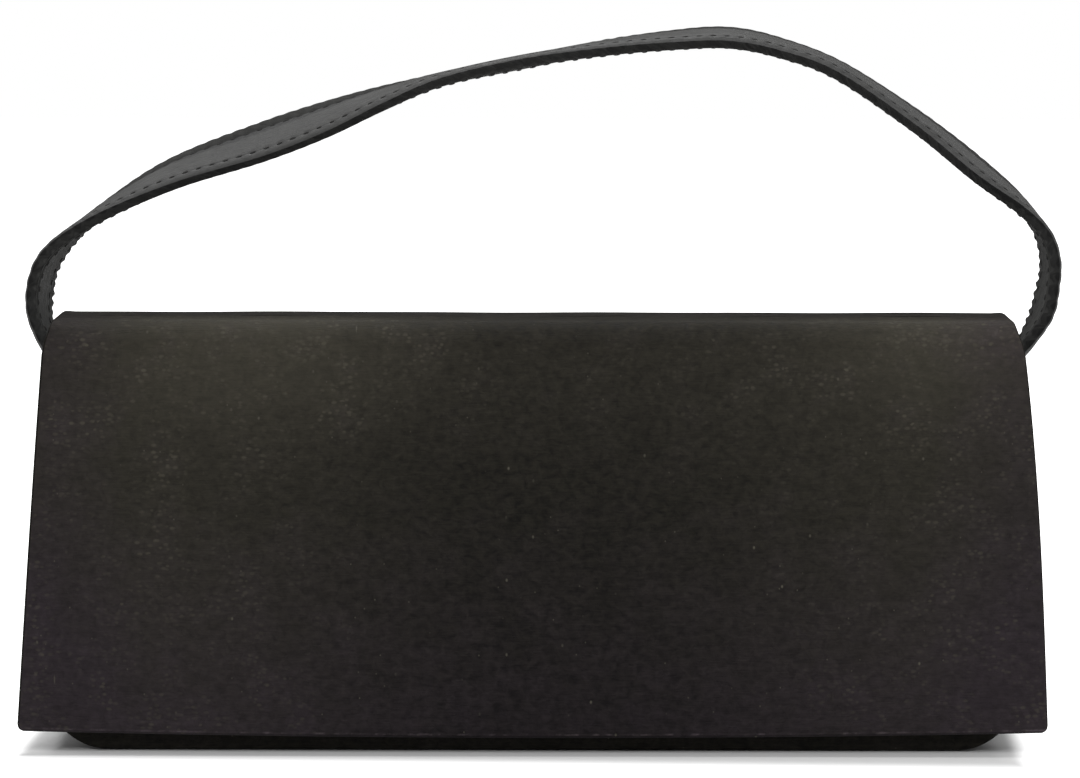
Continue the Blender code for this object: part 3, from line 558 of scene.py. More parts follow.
liningCloth = plainWeave("wovenBlackLining", {
    "values": {"IOR": 1.5, "Specular IOR Level": 0.3, "Sheen Weight": 0.08, "Sheen Tint": "#77747a"},
    "threadPitch": 0.45, "dark": "#131315", "light": "#29292d", "roughness": 0.45, "roughSpread": 0.2,
    "bump": 0.5,
})


def grained(name, look):
    # grain and wear at their real size, from the piece's own coordinates
    surface, tree = newMaterial(name)
    place = addNode(tree, "ShaderNodeTexCoord", {}, "Object")
    grain, wear = (
        addNode(tree, "ShaderNodeTexNoise", {
            "Vector": place, "Scale": 1000 / size, "Detail": detail, "Roughness": 0.6,
        }) for size, detail in ((look["grainMm"], 3.0), (look["wearMm"], 4.0))
    )
    wear = addNode(tree, "ShaderNodeMath", (wear, 1.8, -0.6), operation="MULTIPLY_ADD")
    tone = addNode(tree, "ShaderNodeMath", (grain, 0.4, wear), operation="MULTIPLY_ADD")
    colour, rough = toned(tree, look, tone, tone)
    shade(tree, look["values"], colour, rough, grain, look["bump"], 0.00003)
    return surface


# Spun polyester thread: dull black with a fine twist
sewingThread = grained("blackSewingThread", {
    "values": {"IOR": 1.5, "Specular IOR Level": 0.25}, "grainMm": 0.25, "wearMm": 1.5,
    "dark": "#080808", "light": "#161514", "roughness": 0.7, "roughSpread": 0.15, "bump": 0.6,
})
# Nickel plate on brass: warm white and bright, with light rubbing
nickelPlate = grained("nickelPlatedBrass", {
    "values": {"Metallic": 1.0}, "grainMm": 0.15, "wearMm": 2.5,
    "dark": "#a9a498", "light": "#d4cfc4", "roughness": 0.16, "roughSpread": 0.14, "bump": 0.12,
})
# Sintered magnet: dull dark grey, fine grained
sinteredMagnet = grained("sinteredMagnet", {
    "values": {"Metallic": 1.0}, "grainMm": 0.12, "wearMm": 1.5,
    "dark": "#4b4a49", "light": "#77757a", "roughness": 0.42, "roughSpread": 0.25, "bump": 0.4,
})
# Stamped steel: a plain rolled surface
stampedSteel = grained("stampedSteel", {
    "values": {"Metallic": 1.0}, "grainMm": 0.2, "wearMm": 3.0,
    "dark": "#8b8b8d", "light": "#b4b4b6", "roughness": 0.3, "roughSpread": 0.2, "bump": 0.2,
})
# Uncoated grey board: matt, with flecks of fibre
greyBoard = grained("uncoatedGreyBoard", {
    "values": {"IOR": 1.5, "Specular IOR Level": 0.3}, "grainMm": 0.6, "wearMm": 6.0,
    "dark": "#847d72", "light": "#a39c90", "roughness": 0.82, "roughSpread": 0.1, "bump": 0.5,
})
hardware = (
    (greyBoard, ("base_board", "front_board", "back_board", "spine_board", "flap_board")),
    (nickelPlate, ("snap_socket", "snap_stud")),
    (sinteredMagnet, ("snap_magnet",)),
    (stampedSteel, ("snap_socket_washer", "snap_stud_washer")),
)
for surface, names in hardware:
    for name in names:
        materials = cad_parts[name].data.materials
        materials.clear()
        materials.append(surface)
print("materials made")


# Covers of the panels

def ripples(x, along, seed):
    # slow swell of cloth over board, within 1 of nothing
    return (
        sin(2 * pi * (x / 0.083 + along / 0.19) + seed) * 0.4
        + sin(2 * pi * (x / 0.041 - along / 0.061) + 2.1 * seed) * 0.35
        + sin(2 * pi * (x / 0.149 + along / 0.047) + 0.7 * seed) * 0.25
    )


def lipped(crest, reach, swell, ends, seed):
    # cloth that stands a little proud in a lip just inside each edge
    def puff(x, along, fromSide):
        near = min([fromSide] + [abs(end - along) for end in ends])
        lip = crest * exp(-(((near - reach) / (0.55 * reach)) ** 2))
        return lip + swell * ripples(x, along, seed) * smoothStep(near, 0.0, 0.012)
    return puff


def loose(amount, seed):
    # cloth that lies a little uneven between its sides
    def slack(x, along, fromSide):
        return amount * (1 + ripples(1.4 * x, along, seed)) * smoothStep(fromSide, 0.002, 0.014)
    return slack


def flat(x, along, fromSide):
    return 0.0


# the covers' rolled edges and inner sides take the darker copy of the satin: painted shade
coverLook = {
    "turned": shadedTurnedSatin, "shoulder": 2, "roll": 0.0012, "outer": 0.0, "inner": 0.00255, "inset": 0.0,
    "rollSteps": 6, "columns": 48, "slack": flat, "ease": 0.0009,
}


def shoulderOutline(along):
    # the cloth stands out a little at the ends of the spine
    eased = smoothStep(along, backLength, spineStart) * (1 - smoothStep(along, spineEnd, flapStart + 0.002))
    return wrapHalfWidth(along) + coverLook["ease"] * eased


flapLook = dict(
    coverLook, columns=84,
    puff=lipped(0.00016, 0.0018, 0.00014, [flapEnd], 1.3),
    stops=lambda low, high: chain(low, (spineEnd, 4), (flapStart, 14), (flapEnd - 0.010, 30), (high, 12)),
)
flapCover = envelope(
    "flapSatin", wrapPlace, shoulderOutline, (spineMiddle, False), (flapEnd, True), flapSatin, flapLook
)
backLook = dict(
    coverLook,
    puff=lipped(0.00014, 0.0018, 0.00012, [0.0], 2.2),
    stops=lambda low, high: (
        easedIn(low, corner, 10) + chain(corner, (backLength, 16), (spineStart, 14), (high, 4))[1:]
    ),
)
backCover = envelope(
    "backSatin", wrapPlace, shoulderOutline, (0.0, True), (spineMiddle, False), bagSatin, backLook
)
frontLook = dict(
    coverLook,
    puff=lipped(0.00014, 0.0018, 0.00010, [0.0, frontLength], 3.1),
    stops=lambda low, high: easedIn(low, corner, 10) + spread(corner, high, 18)[1:],
)
frontCover = envelope(
    "frontSatin", frontPlace, bodyHalfWidth, (0.0, True), (frontLength, True), bagSatin, frontLook
)
print("panel covers made")


# Gussets and base, one strip of satin from the left of the mouth round to the right

gussetLook = {
    "thickness": 0.0006, "gap": 0.0002, "crease": 0.0004, "creasePitch": 0.013,
    "columns": 24, "sideStops": 30, "cornerStops": 12, "baseStops": 24,
}


def gussetPoint(side, turn, height, v, depth, look):
    # turn is how far round the lower corner the point is, or None above it
    inset = bag["gussetInset"]
    rise = min(max(height - corner, 0) / (frontLength - corner), 1)
    sag = bag["gussetSag"] * sin(pi * rise) ** 2 * (1 - v**2)
    # slack cloth creases across the fold that the sag makes
    crease = look["crease"] * sin(pi * rise) * (1 - v**2)
    crease *= sin(2 * pi * height / look["creasePitch"] + 2.2 * v)
    if turn is None:
        x, z = bodyHalfWidth(height) - inset - depth - sag - crease, height
    else:
        inset *= 1 - smoothStep(turn, 1.0, pi / 2)
        x = bag["halfWidthBase"] - corner + (corner - inset - depth) * cos(turn)
        z = corner - (corner - inset - depth) * sin(turn)
    return Vector((side * x, v * (innerDepth(z) - look["gap"]), z))


def bandRows(look):
    across = spread(-1, 1, look["columns"])
    top, baseEnd = frontLength - bag["gussetTopDrop"], bag["halfWidthBase"] - corner
    stops = [(None, height) for height in spread(top, corner, look["sideStops"])]
    stops += [(turn, 0.0) for turn in spread(0, pi / 2, look["cornerStops"])[1:]]

    def row(point):
        inner = [point(v, look["thickness"]) for v in reversed(across)]
        return [point(v, 0.0) for v in across] + inner

    rows = [row(lambda v, depth: gussetPoint(-1, *stop, v, depth, look)) for stop in stops]
    for x in spread(-baseEnd, baseEnd, look["baseStops"])[1:-1]:
        rows.append(row(lambda v, depth: Vector((x, v * (innerDepth(0.0) - look["gap"]), depth))))
    return rows + [row(lambda v, depth: gussetPoint(1, *stop, v, depth, look)) for stop in reversed(stops)]


gussetBand = skin("gussetSatin", bandRows(gussetLook), bagSatin)
print("gussets and base made")


# Lining: one pouch inside the body, and strips over the spine and the flap

pouchLook = {
    "gap": 0.00015, "gussetGap": 0.0007, "thickness": 0.0004, "floorHeight": 0.0032, "frontDrop": 0.0016,
    "wrinkle": 0.0003, "wrinkleScale": 1.7, "rows": 34, "columns": 56, "sideColumns": 14,
    # how far across a gusset its lining starts, and where the front's and back's widths are taken
    "sideShare": 0.9, "widthShare": 0.94,
}


def pouchLoop(height, look):
    # one level ring of the lining: front, right gusset, back, left gusset
    deep = innerDepth(height) - look["gap"]
    depth = gussetLook["thickness"] + look["gussetGap"]
    loop = []

    def side(v):
        if height < corner:
            inner = corner - bag["gussetInset"] - depth
            return bag["halfWidthBase"] - corner + sqrt(max(inner**2 - (corner - height) ** 2, 0))
        return gussetPoint(1, None, height, v, depth, gussetLook).x

    for way, seed in ((1, 4.4), (-1, 5.9)):
        for share in spread(-way, way, look["columns"]):
            x = share * side(look["widthShare"])
            fold = look["wrinkle"] * (1 - share**8) * (1 + ripples(x * look["wrinkleScale"], height, seed))
            loop.append(Vector((x, way * (fold - deep), height)))
        for v in spread(-way * look["sideShare"], way * look["sideShare"], look["sideColumns"]):
            loop.append(Vector((way * side(v), v * deep, height)))
    return loop


def pouch(look):
    top = frontPlace(0, 0, frontLength - look["frontDrop"], 0).z
    rows = [pouchLoop(height, look) for height in spread(top, look["floorHeight"], look["rows"])]
    piece = skin("bodyLining", rows, liningCloth, caps=False)
    build = bmesh.new()
    build.from_mesh(piece.data)
    cloth = build.loops.layers.uv["clothMm"]
    # the floor spans the lowest ring, line by line from the front to the back
    columns, sides = look["columns"] + 1, look["sideColumns"] + 1
    ring = list(build.verts)[-len(rows[0]):]
    front, right = ring[:columns], ring[columns:columns + sides]
    back, left = ring[columns + sides:-sides][::-1], ring[-sides:][::-1]
    lines = [front]
    for step in range(sides):
        share = (step + 1) / (sides + 1)
        inner = [build.verts.new(a.co.lerp(b.co, share)) for a, b in zip(front[1:-1], back[1:-1])]
        lines.append([left[step], *inner, right[step]])
    lines.append(back)
    for near, far in zip(lines, lines[1:]):
        for i in range(len(near) - 1):
            face = build.faces.new((near[i], near[i + 1], far[i + 1], far[i]))
            face.smooth = True
            for point in face.loops:
                point[cloth].uv = (point.vert.co.x * 1000, point.vert.co.y * 1000)
    bmesh.ops.recalc_face_normals(build, faces=build.faces)
    build.to_mesh(piece.data)
    build.free()
    return thicken(piece, look["thickness"], 1.0)


bodyLining = pouch(pouchLook)

liningLook = {
    "turned": None, "shoulder": 0, "roll": 0.00022, "outer": 0.00245, "inner": 0.00300, "inset": 0.0022,
    "rollSteps": 3, "columns": 40, "puff": flat, "slack": loose(0.00016, 5.1), "backLap": 0.009,
}
flapLining = envelope(
    "flapLining", wrapPlace, wrapHalfWidth, (spineMiddle, False), (flapEnd - liningLook["inset"], True),
    liningCloth, dict(
        liningLook, stops=lambda low, high: chain(low, (spineEnd, 4), (flapStart, 12), (high, 30)),
    ),
)
spineLining = envelope(
    "spineLining", wrapPlace, wrapHalfWidth, (backLength - liningLook["backLap"], True),
    (spineMiddle, False), liningCloth, dict(
        liningLook, stops=lambda low, high: chain(low, (backLength, 6), (spineStart, 12), (high, 4)),
    ),
)

pocketLook = {
    "halfWidth": 0.060, "foot": 0.022, "height": 0.058, "depth": 0.0033, "thickness": 0.0004,
    "slack": 0.0011, "mouthDip": 0.0012, "hem": 0.0050, "hemStep": 0.0003, "columns": 44, "rows": 26,
    # where the stitches run: shares of the half width and of the height
    "stitchAcross": 0.97, "stitchRise": (0.03, 0.98), "stitchLift": 0.00005,
}


def pocketPoint(share, rise, look, lift=0.0):
    # the pocket stands off the back lining towards its open top
    along = look["foot"] + look["height"] * rise - look["mouthDip"] * rise**3 * (1 - share**2)
    slack = look["slack"] * smoothStep(1 - abs(share), 0, 0.16) * smoothStep(rise, 0, 0.35)
    slack *= 1 + 0.12 * ripples(share * 0.09, along, 1.7)
    hem = 1 - look["hem"] / look["height"]
    step = look["hemStep"] * smoothStep(rise, hem - 0.01, hem + 0.01)
    return wrapPlace(share * look["halfWidth"], 0, along, look["depth"] + slack + step + lift)


def pocket(look):
    rows = [
        [pocketPoint(share, rise, look) for share in spread(-1, 1, look["columns"])]
        for rise in spread(0, 1, look["rows"])
    ]
    return thicken(skin("slipPocket", rows, liningCloth, loop=False), look["thickness"], 0.0)


slipPocket = pocket(pocketLook)
print("lining and pocket made")


# Strap: a flat tube of satin over webbing, stitched down both edges

strapLook = {
    "thickness": 0.0030, "rise": 0.0880, "leanDegrees": 17.0, "endLength": 0.0052,
    "rootHeight": 0.0960, "rootDepth": 0.0065, "tabThickness": 0.0010, "tabHead": 0.0040,
    # places across the strap, from its middle
    "frontEdge": -0.0060, "backEdge": 0.0067, "frontRow": -0.0044, "backRow": 0.0034,
    "frontFlange": -0.0034, "backFlange": 0.0038, "flangeStep": 0.00022, "flangeBevel": 0.0003,
    # the outer face: padding between the stitch rows, furrows along them and a dip at each stitch
    "padding": 0.00028, "crown": 0.00014, "furrow": 0.00010, "furrowReach": 0.00045, "dip": 0.00020,
    "bulge": 0.00022, "backDrop": 0.00035, "frontDrop": 0.00022,
    # the edges; pairs are distances from the nearer end over which something changes
    "edgeRound": 0.00035, "frontRound": 0.0010, "archRound": 0.0015, "archFrom": (0.040, 0.075),
    "scallop": 0.00012, "rootScallop": 2.2, "rootScallopTo": (0.025, 0.075), "lipGive": 0.3,
    "sidePucker": 0.00005, "lump": 0.00030, "lumpPitch": 0.0027, "lumpInset": 0.0011,
    "lumpFrom": (0.008, 0.016), "lumpTo": (0.050, 0.070), "kinkAt": 0.311, "kinkReach": 0.012, "kink": 0.0007,
    "stitchPitch": 0.0037, "stopsPerStitch": 8, "stitchMargin": 0.75, "stitchLift": 0.00006,
    "innerStitchLift": 0.00018,
}
# middle line from the left root to the right: share of the half span, share of the rise, turn to the front
strapRoute = (
    (-1.000, 0.000, 0.0), (-1.027, 0.072, -6.0), (-1.045, 0.153, -12.0), (-1.044, 0.239, -12.0),
    (-1.024, 0.322, -4.0), (-0.967, 0.408, 11.0), (-0.880, 0.493, 25.0), (-0.754, 0.586, 42.0),
    (-0.584, 0.672, 54.0), (-0.456, 0.739, 49.0), (-0.329, 0.809, 32.0), (-0.201, 0.869, 17.0),
    (-0.030, 0.922, 12.0), (0.141, 0.966, 20.0), (0.293, 0.992, 26.0), (0.416, 1.000, 29.0),
    (0.526, 0.969, 27.0), (0.654, 0.898, 25.0), (0.824, 0.735, 28.0), (0.950, 0.589, 30.0),
    (1.039, 0.481, 19.0), (1.083, 0.392, 4.0), (1.095, 0.310, -5.0), (1.088, 0.233, -10.0),
    (1.073, 0.153, -13.0), (1.039, 0.072, -6.0), (1.000, 0.000, 0.0),
)


def strapSamples(look):
    # the smooth line through the route, in metres across, metres up and degrees
    ends = look["rootHeight"] - look["endLength"], look["rootHeight"] + look["tabHead"]
    side = max(bodyHalfWidth(height - panelFoot) for height in ends)
    span = side + look["tabThickness"] + 2 * bag["clearance"] + look["thickness"] / 2
    route = [(across * span, up * look["rise"], turn) for across, up, turn in strapRoute]
    foot = look["endLength"]
    route = [(-span, -foot, route[0][2])] + route + [(span, -foot, route[-1][2])]
    samples = []
    for i in range(len(route) - 1):
        around = route[max(i - 1, 0)], route[i], route[i + 1], route[min(i + 2, len(route) - 1)]
        for t in spread(0, 1, 24)[:-1]:
            samples.append([
                b * (2 * t**3 - 3 * t**2 + 1) + (c - a) / 2 * (t**3 - 2 * t**2 + t)
                + c * (3 * t**2 - 2 * t**3) + (d - b) / 2 * (t**3 - t**2)
                for a, b, c, d in zip(*around)
            ])
    return samples + [list(route[-1])]


samples = strapSamples(strapLook)
strapRun = [0.0]
for a, b in zip(samples, samples[1:]):
    strapRun.append(strapRun[-1] + sqrt((a[0] - b[0]) ** 2 + (a[1] - b[1]) ** 2))
strapLength = strapRun[-1]
stitchCount = round(strapLength / strapLook["stitchPitch"])
stitchPitch = strapLength / stitchCount
print("strap is", round(strapLength * 1000, 1), "mm long, with", stitchCount, "stitches in a row")


def strapFrame(distance, look):
    # middle of the strap, the way across it, and its outer face's normal
    i = min(max(j for j in range(len(strapRun)) if strapRun[j] <= distance + 1e-9), len(strapRun) - 2)
    share = (distance - strapRun[i]) / (strapRun[i + 1] - strapRun[i])
    x, up, turn = (a + (b - a) * share for a, b in zip(samples[i], samples[i + 1]))
    before, after = samples[max(i - 6, 0)], samples[min(i + 7, len(samples) - 1)]
    tilt, turned = radians(look["leanDegrees"]), radians(turn)
    rise, behind = Vector((0, sin(tilt), cos(tilt))), Vector((0, cos(tilt), -sin(tilt)))
    along = Vector((after[0] - before[0], 0, 0)) + (after[1] - before[1]) * rise
    outward = along.normalized().cross(behind)
    across = cos(turned) * behind + sin(turned) * outward
    face = cos(turned) * outward - sin(turned) * behind
    root = Vector((0, look["rootDepth"], look["rootHeight"]))
    return root + Vector((x, 0, 0)) + rise * up, across, face


def stitchPull(distance):
    # 1 at each stitch and 0 between them
    return (0.5 + 0.5 * cos(2 * pi * distance / stitchPitch)) ** 1.5


def unevenness(distance):
    return 0.7 + 0.3 * sin(distance / 0.0113) * sin(distance / 0.0047 + 1.0)


def strapTop(a, distance, look):
    # height of the outer face: padded between the rows, pulled down at the stitches
    frontRow, backRow = look["frontRow"], look["backRow"]
    pull = stitchPull(distance)
    bulge = look["bulge"] * unevenness(distance) * (1 - pull)
    height = look["thickness"] / 2 + look["padding"]
    if a > backRow:
        past = min((a - backRow) / (look["backEdge"] - backRow), 1)
        height += bulge * sin(pi * past) ** 0.7 - look["backDrop"] * past**0.7
    elif a < frontRow:
        past = min((frontRow - a) / (frontRow - look["frontEdge"]), 1)
        height += 0.5 * bulge * sin(pi * past) - look["frontDrop"] * past**0.5
    else:
        middle, reach = (frontRow + backRow) / 2, (backRow - frontRow) / 2
        height += look["crown"] * (1 - ((a - middle) / reach) ** 4) ** 0.5
    for row in (frontRow, backRow):
        height -= (look["furrow"] + look["dip"] * pull) * exp(-(((a - row) / look["furrowReach"]) ** 2))
    return height


def strapOutline(distance, look):
    # cross-section, from the front edge over the outer face to the back edge and round below
    thick, rounding, frontRound = look["thickness"] / 2, look["edgeRound"], look["frontRound"]
    fromEnd = min(distance, strapLength - distance)
    uneven, pull = unevenness(distance), stitchPull(distance)
    # the front edge is pressed rounder along the arch than at the ends
    frontRound += (look["archRound"] - frontRound) * smoothStep(fromEnd, *look["archFrom"])
    nearRoot = 1 + look["rootScallop"] * (1 - smoothStep(fromEnd, *look["rootScallopTo"]))
    scallop = look["scallop"] * uneven * nearRoot * (1 - 2 * pull)
    kink = look["kink"] * max(1 - abs(distance - look["kinkAt"]) / look["kinkReach"], 0)
    left, right = look["frontEdge"] - scallop * 0.5, look["backEdge"] + scallop + kink
    # slack cloth along the inner side of the back edge, where the strap bends down to its ends
    slack = smoothStep(fromEnd, *look["lumpFrom"]) * (1 - smoothStep(fromEnd, *look["lumpTo"]))
    lump = look["lump"] * slack * (0.6 + uneven * cos(2 * pi * distance / look["lumpPitch"]))
    quarter = spread(0, pi / 2, 5)
    face = chain(left + frontRound, (look["frontRow"], 4), (look["backRow"], 18), (right - rounding, 8))
    points = [(a, strapTop(a, distance, look)) for a in face]
    upper = strapTop(right - rounding, distance, look)
    points += [(right - rounding * (1 - sin(t)), upper - rounding * (1 - cos(t))) for t in quarter[1:]]
    points += [
        (right - rounding * (1 - cos(t)), -thick + rounding * (1 - sin(t)) - lump * sin(t)) for t in quarter
    ]
    # the turned edges end in flanges, with the backing strip let in between them
    frontFlange, backFlange, bevel = look["frontFlange"], look["backFlange"], look["flangeBevel"]
    step = -thick + look["flangeStep"]
    points += [
        (right - look["lumpInset"], -thick - 0.8 * lump), (backFlange + 2 * bevel, -thick - 0.2 * lump),
        (backFlange, -thick), (backFlange - bevel, step), (frontFlange + bevel, step), (frontFlange, -thick),
    ]
    points += [(left + rounding * (1 - sin(t)), -thick + rounding * (1 - cos(t))) for t in quarter]
    # the front side puckers between the stitches
    level = thick + look["padding"]
    upper = level + look["lipGive"] * (strapTop(left + frontRound, distance, look) - level)
    foot, head = -thick + rounding, upper - frontRound
    pucker = look["sidePucker"] * (1 - 2 * stitchPull(distance + 0.3 * stitchPitch)) * uneven
    points += [
        (left - pucker * sin(pi * share), foot + (head - foot) * share) for share in spread(0, 1, 5)[1:-1]
    ]
    return points + [
        (left + frontRound * (1 - cos(t)), upper - frontRound * (1 - sin(t))) for t in quarter[:-1]
    ]


def strapRows(look, perStitch, outline, narrowing=1.0):
    end, rows = look["endLength"], []
    eased = easedIn(0, end, 8)[:-1]
    inside = [d for d in spread(0, strapLength, stitchCount * perStitch) if end < d < strapLength - end]
    for distance in eased + inside + [strapLength - d for d in reversed(eased)]:
        middle, across, face = strapFrame(distance, look)
        # each end is rounded off to a fifth of the width
        near = max(end - min(distance, strapLength - distance), 0) / (end * 1.02)
        narrow = sqrt(1 - near**2) * narrowing
        rows.append([middle + across * a * narrow + face * h for a, h in outline(distance)])
    return rows


# columns of the outline: the middle of the face, and those of the turned edges
middleColumn, marginColumn, rimColumns = 13, 22, 4
backingLook = {
    "frontLap": 0.0008, "backLap": 0.0010, "proud": 0.00012, "seated": 0.00035, "bevel": 0.00015,
    "swell": 0.00006, "swellInset": 0.001, "narrowing": 0.98, "stopsPerStitch": 3,
}


def strapFace(look):
    rows = strapRows(look, look["stopsPerStitch"], lambda distance: strapOutline(distance, look))
    # the turned edges take the darker copy of the satin: painted shade
    turned = (shadedEdgeSatin, range(marginColumn, len(rows[0]) - rimColumns))
    return skin("strapSatin", rows, strapSatin, sharpAngle=70, middle=middleColumn, second=turned)


def strapBacking(strap, look):
    # the inner strip, laid between the turned edges
    left, right = strap["frontRow"] - look["frontLap"], strap["backRow"] + look["backLap"]
    low, high = -strap["thickness"] / 2 - look["proud"], -strap["thickness"] / 2 + look["seated"]
    bevel, inset = look["bevel"], look["swellInset"]
    outline = [(left, high), (right, high), (right, low + bevel), (right - bevel, low)]
    outline += [(a, low - look["swell"]) for a in spread(right - inset, left + inset, 6)]
    outline += [(left + bevel, low), (left, low + bevel)]
    rows = strapRows(strap, look["stopsPerStitch"], lambda distance: outline, look["narrowing"])
    return skin("strapBacking", rows, innerSatin, sharpAngle=70)


strapSkin = strapFace(strapLook)
strapLiner = strapBacking(strapLook, backingLook)
print("strap made")


# Tabs that hold the strap to the sides

tabLook = {
    "width": 0.0110, "length": 0.0200, "thickness": 0.0010, "roll": 0.00045, "endRadius": 0.0040,
    "rows": 22, "columns": 12, "stitchInset": 0.0012, "stitchDrop": 0.0008, "stitchSink": 0.0001,
    "dip": 0.00014, "dipReach": 0.00035,
}
tabTop = strapLook["rootHeight"] + strapLook["tabHead"]


def tabPoint(side, across, height, depth):
    seat = bodyHalfWidth(height - panelFoot) + bag["clearance"]
    return Vector((side * (seat + depth), strapLook["rootDepth"] + across, height))


def tabRows(side, look):
    low, radius, roll, thick = tabTop - look["length"], look["endRadius"], look["roll"], look["thickness"]
    rows = []
    for height in easedIn(low, low + radius, 8) + spread(low + radius, tabTop, look["rows"])[1:]:
        half, thin = look["width"] / 2 - rounded(radius, height - low), rounded(roll, height - low)
        loop = []
        for way in (1, -1):
            # the outer side and one edge, then the inner side and the other edge
            for a in spread(way * (roll - half), way * (half - roll), look["columns"]):
                near = min(half - abs(a), height - low)
                dip = look["dip"] * exp(-(((near - look["stitchInset"]) / look["dipReach"]) ** 2))
                loop.append(tabPoint(side, a, height, thick - thin - dip if way > 0 else thin))
            for t in spread(0, pi, 7)[1:-1]:
                depth = thick / 2 + way * (thick / 2 - thin) * cos(t)
                loop.append(tabPoint(side, way * (half - roll + roll * sin(t)), height, depth))
        rows.append(loop)
    return rows


leftTab = skin("leftTabSatin", tabRows(-1, tabLook), bagSatin)
rightTab = skin("rightTabSatin", tabRows(1, tabLook), bagSatin)


# Stitches, laid along paths by one node tree

def stitchTree():
    tree = bpy.data.node_groups.new("stitchesAlongPath", "GeometryNodeTree")
    kinds = (
        ("Geometry", "Geometry"), ("Pitch", "Float"), ("Length", "Float"), ("Width", "Float"),
        ("Height", "Float"), ("Slant", "Float"), ("Seed", "Int"), ("Thread", "Material"),
    )
    for name, kind in kinds:
        tree.interface.new_socket(name, in_out="INPUT", socket_type="NodeSocket" + kind)
    tree.interface.new_socket("Geometry", in_out="OUTPUT", socket_type="NodeSocketGeometry")
    given = addNode(tree, "NodeGroupInput", {}).node.outputs
    path = addNode(tree, "GeometryNodeMeshToCurve", {"Mesh": given["Geometry"]})
    even = addNode(tree, "GeometryNodeResampleCurve", {
        "Curve": path, "Length": given["Pitch"],
    }, mode="LENGTH")
    # without a pitch there is a stitch at each point of the path
    paced = addNode(tree, "FunctionNodeCompare", (given["Pitch"], 0.0), operation="GREATER_THAN")
    path = addNode(tree, "GeometryNodeSwitch", {
        "Switch": paced, "False": path, "True": even,
    }, input_type="GEOMETRY")
    facing = addNode(tree, "GeometryNodeInputNamedAttribute", {"Name": "facing"}, data_type="FLOAT_VECTOR")
    along = addNode(tree, "GeometryNodeInputTangent", {})
    turn = addNode(tree, "FunctionNodeAxesToRotation", {
        "Primary Axis": facing, "Secondary Axis": along,
    }, primary_axis="Z", secondary_axis="X")
    strand = addNode(tree, "GeometryNodeMeshUVSphere", {"Segments": 8, "Rings": 5, "Radius": 0.5})
    size = addNode(tree, "ShaderNodeCombineXYZ", {
        "X": given["Length"], "Y": given["Width"], "Z": given["Height"],
    })
    uneven = addNode(tree, "FunctionNodeRandomValue", {
        "Min": (0.85, 0.88, 0.9), "Max": (1.12, 1.12, 1.1), "Seed": given["Seed"],
    }, data_type="FLOAT_VECTOR")
    size = addNode(tree, "ShaderNodeVectorMath", (size, uneven), operation="MULTIPLY")
    laid = addNode(tree, "GeometryNodeInstanceOnPoints", {
        "Points": path, "Instance": strand, "Rotation": turn, "Scale": size,
    })
    wander = addNode(tree, "FunctionNodeRandomValue", {
        "Min": (0, 0, -0.07), "Max": (0, 0, 0.07), "Seed": given["Seed"],
    }, data_type="FLOAT_VECTOR")
    slant = addNode(tree, "ShaderNodeCombineXYZ", {"Z": given["Slant"]})
    slant = addNode(tree, "ShaderNodeVectorMath", (slant, wander), operation="ADD")
    laid = addNode(tree, "GeometryNodeRotateInstances", {"Instances": laid, "Rotation": slant})
    solid = addNode(tree, "GeometryNodeRealizeInstances", {"Geometry": laid})
    smooth = addNode(tree, "GeometryNodeSetShadeSmooth", {"Geometry": solid})
    done = addNode(tree, "GeometryNodeSetMaterial", {"Geometry": smooth, "Material": given["Thread"]})
    addNode(tree, "NodeGroupOutput", (done,))
    return tree


stitchesAlongPath = stitchTree()


def stitches(name, paths, settings, surface):
    # paths are runs of (point, facing); gives one plain mesh of stitches
    build = bmesh.new()
    facing = build.verts.layers.float_vector.new("facing")
    for path in paths:
        last = None
        for point, normal in path:
            vert = build.verts.new(point)
            vert[facing] = normal
            if last:
                build.edges.new((last, vert))
            last = vert
    guide = newObject(name + "Path", newMesh(name + "Path", build))
    layer = guide.modifiers.new("stitches", "NODES")
    layer.node_group = stitchesAlongPath
    for item in stitchesAlongPath.interface.items_tree:
        if item.in_out == "INPUT" and item.name != "Geometry":
            layer[item.identifier] = surface if item.name == "Thread" else settings[item.name]
    bpy.context.view_layer.update()
    shaped = guide.evaluated_get(bpy.context.evaluated_depsgraph_get())
    result = bpy.data.meshes.new_from_object(shaped)
    guide.modifiers.clear()
    bpy.data.objects.remove(guide)
    result.materials.clear()
    result.materials.append(surface)
    result.polygons.foreach_set("material_index", [0] * len(result.polygons))
    return newObject(name, result)


def strapStitchPaths(look):
    # both rows, on the outer face and on the inner
    margin = look["endLength"] * look["stitchMargin"]
    first, last = ceil(margin / stitchPitch), int((strapLength - margin) / stitchPitch)
    paths = []
    for a in (look["frontRow"], look["backRow"]):
        for side in (1, -1):
            path = []
            for step in range(first, last + 1):
                distance = step * stitchPitch
                middle, across, face = strapFrame(distance, look)
                height = -look["thickness"] / 2 - look["innerStitchLift"]
                if side > 0:
                    height = strapTop(a, distance, look) + look["stitchLift"]
                path.append((middle + across * a + face * height, face * side))
            paths.append(path)
    return paths


def tabStitchPath(side, look):
    low, inset, radius = tabTop - look["length"], look["stitchInset"], look["endRadius"]
    half, bend, foot = look["width"] / 2 - inset, radius - inset, low + radius
    line = [(-half, height) for height in spread(tabTop - look["stitchDrop"], foot, 12)]
    line += [(-half + bend - bend * cos(t), foot - bend * sin(t)) for t in spread(0, pi / 2, 6)[1:]]
    line += [(-a, height) for a, height in reversed(line)]
    facing, depth = Vector((side, 0, 0)), look["thickness"] - look["stitchSink"]
    return [(tabPoint(side, a, height, depth), facing) for a, height in line]


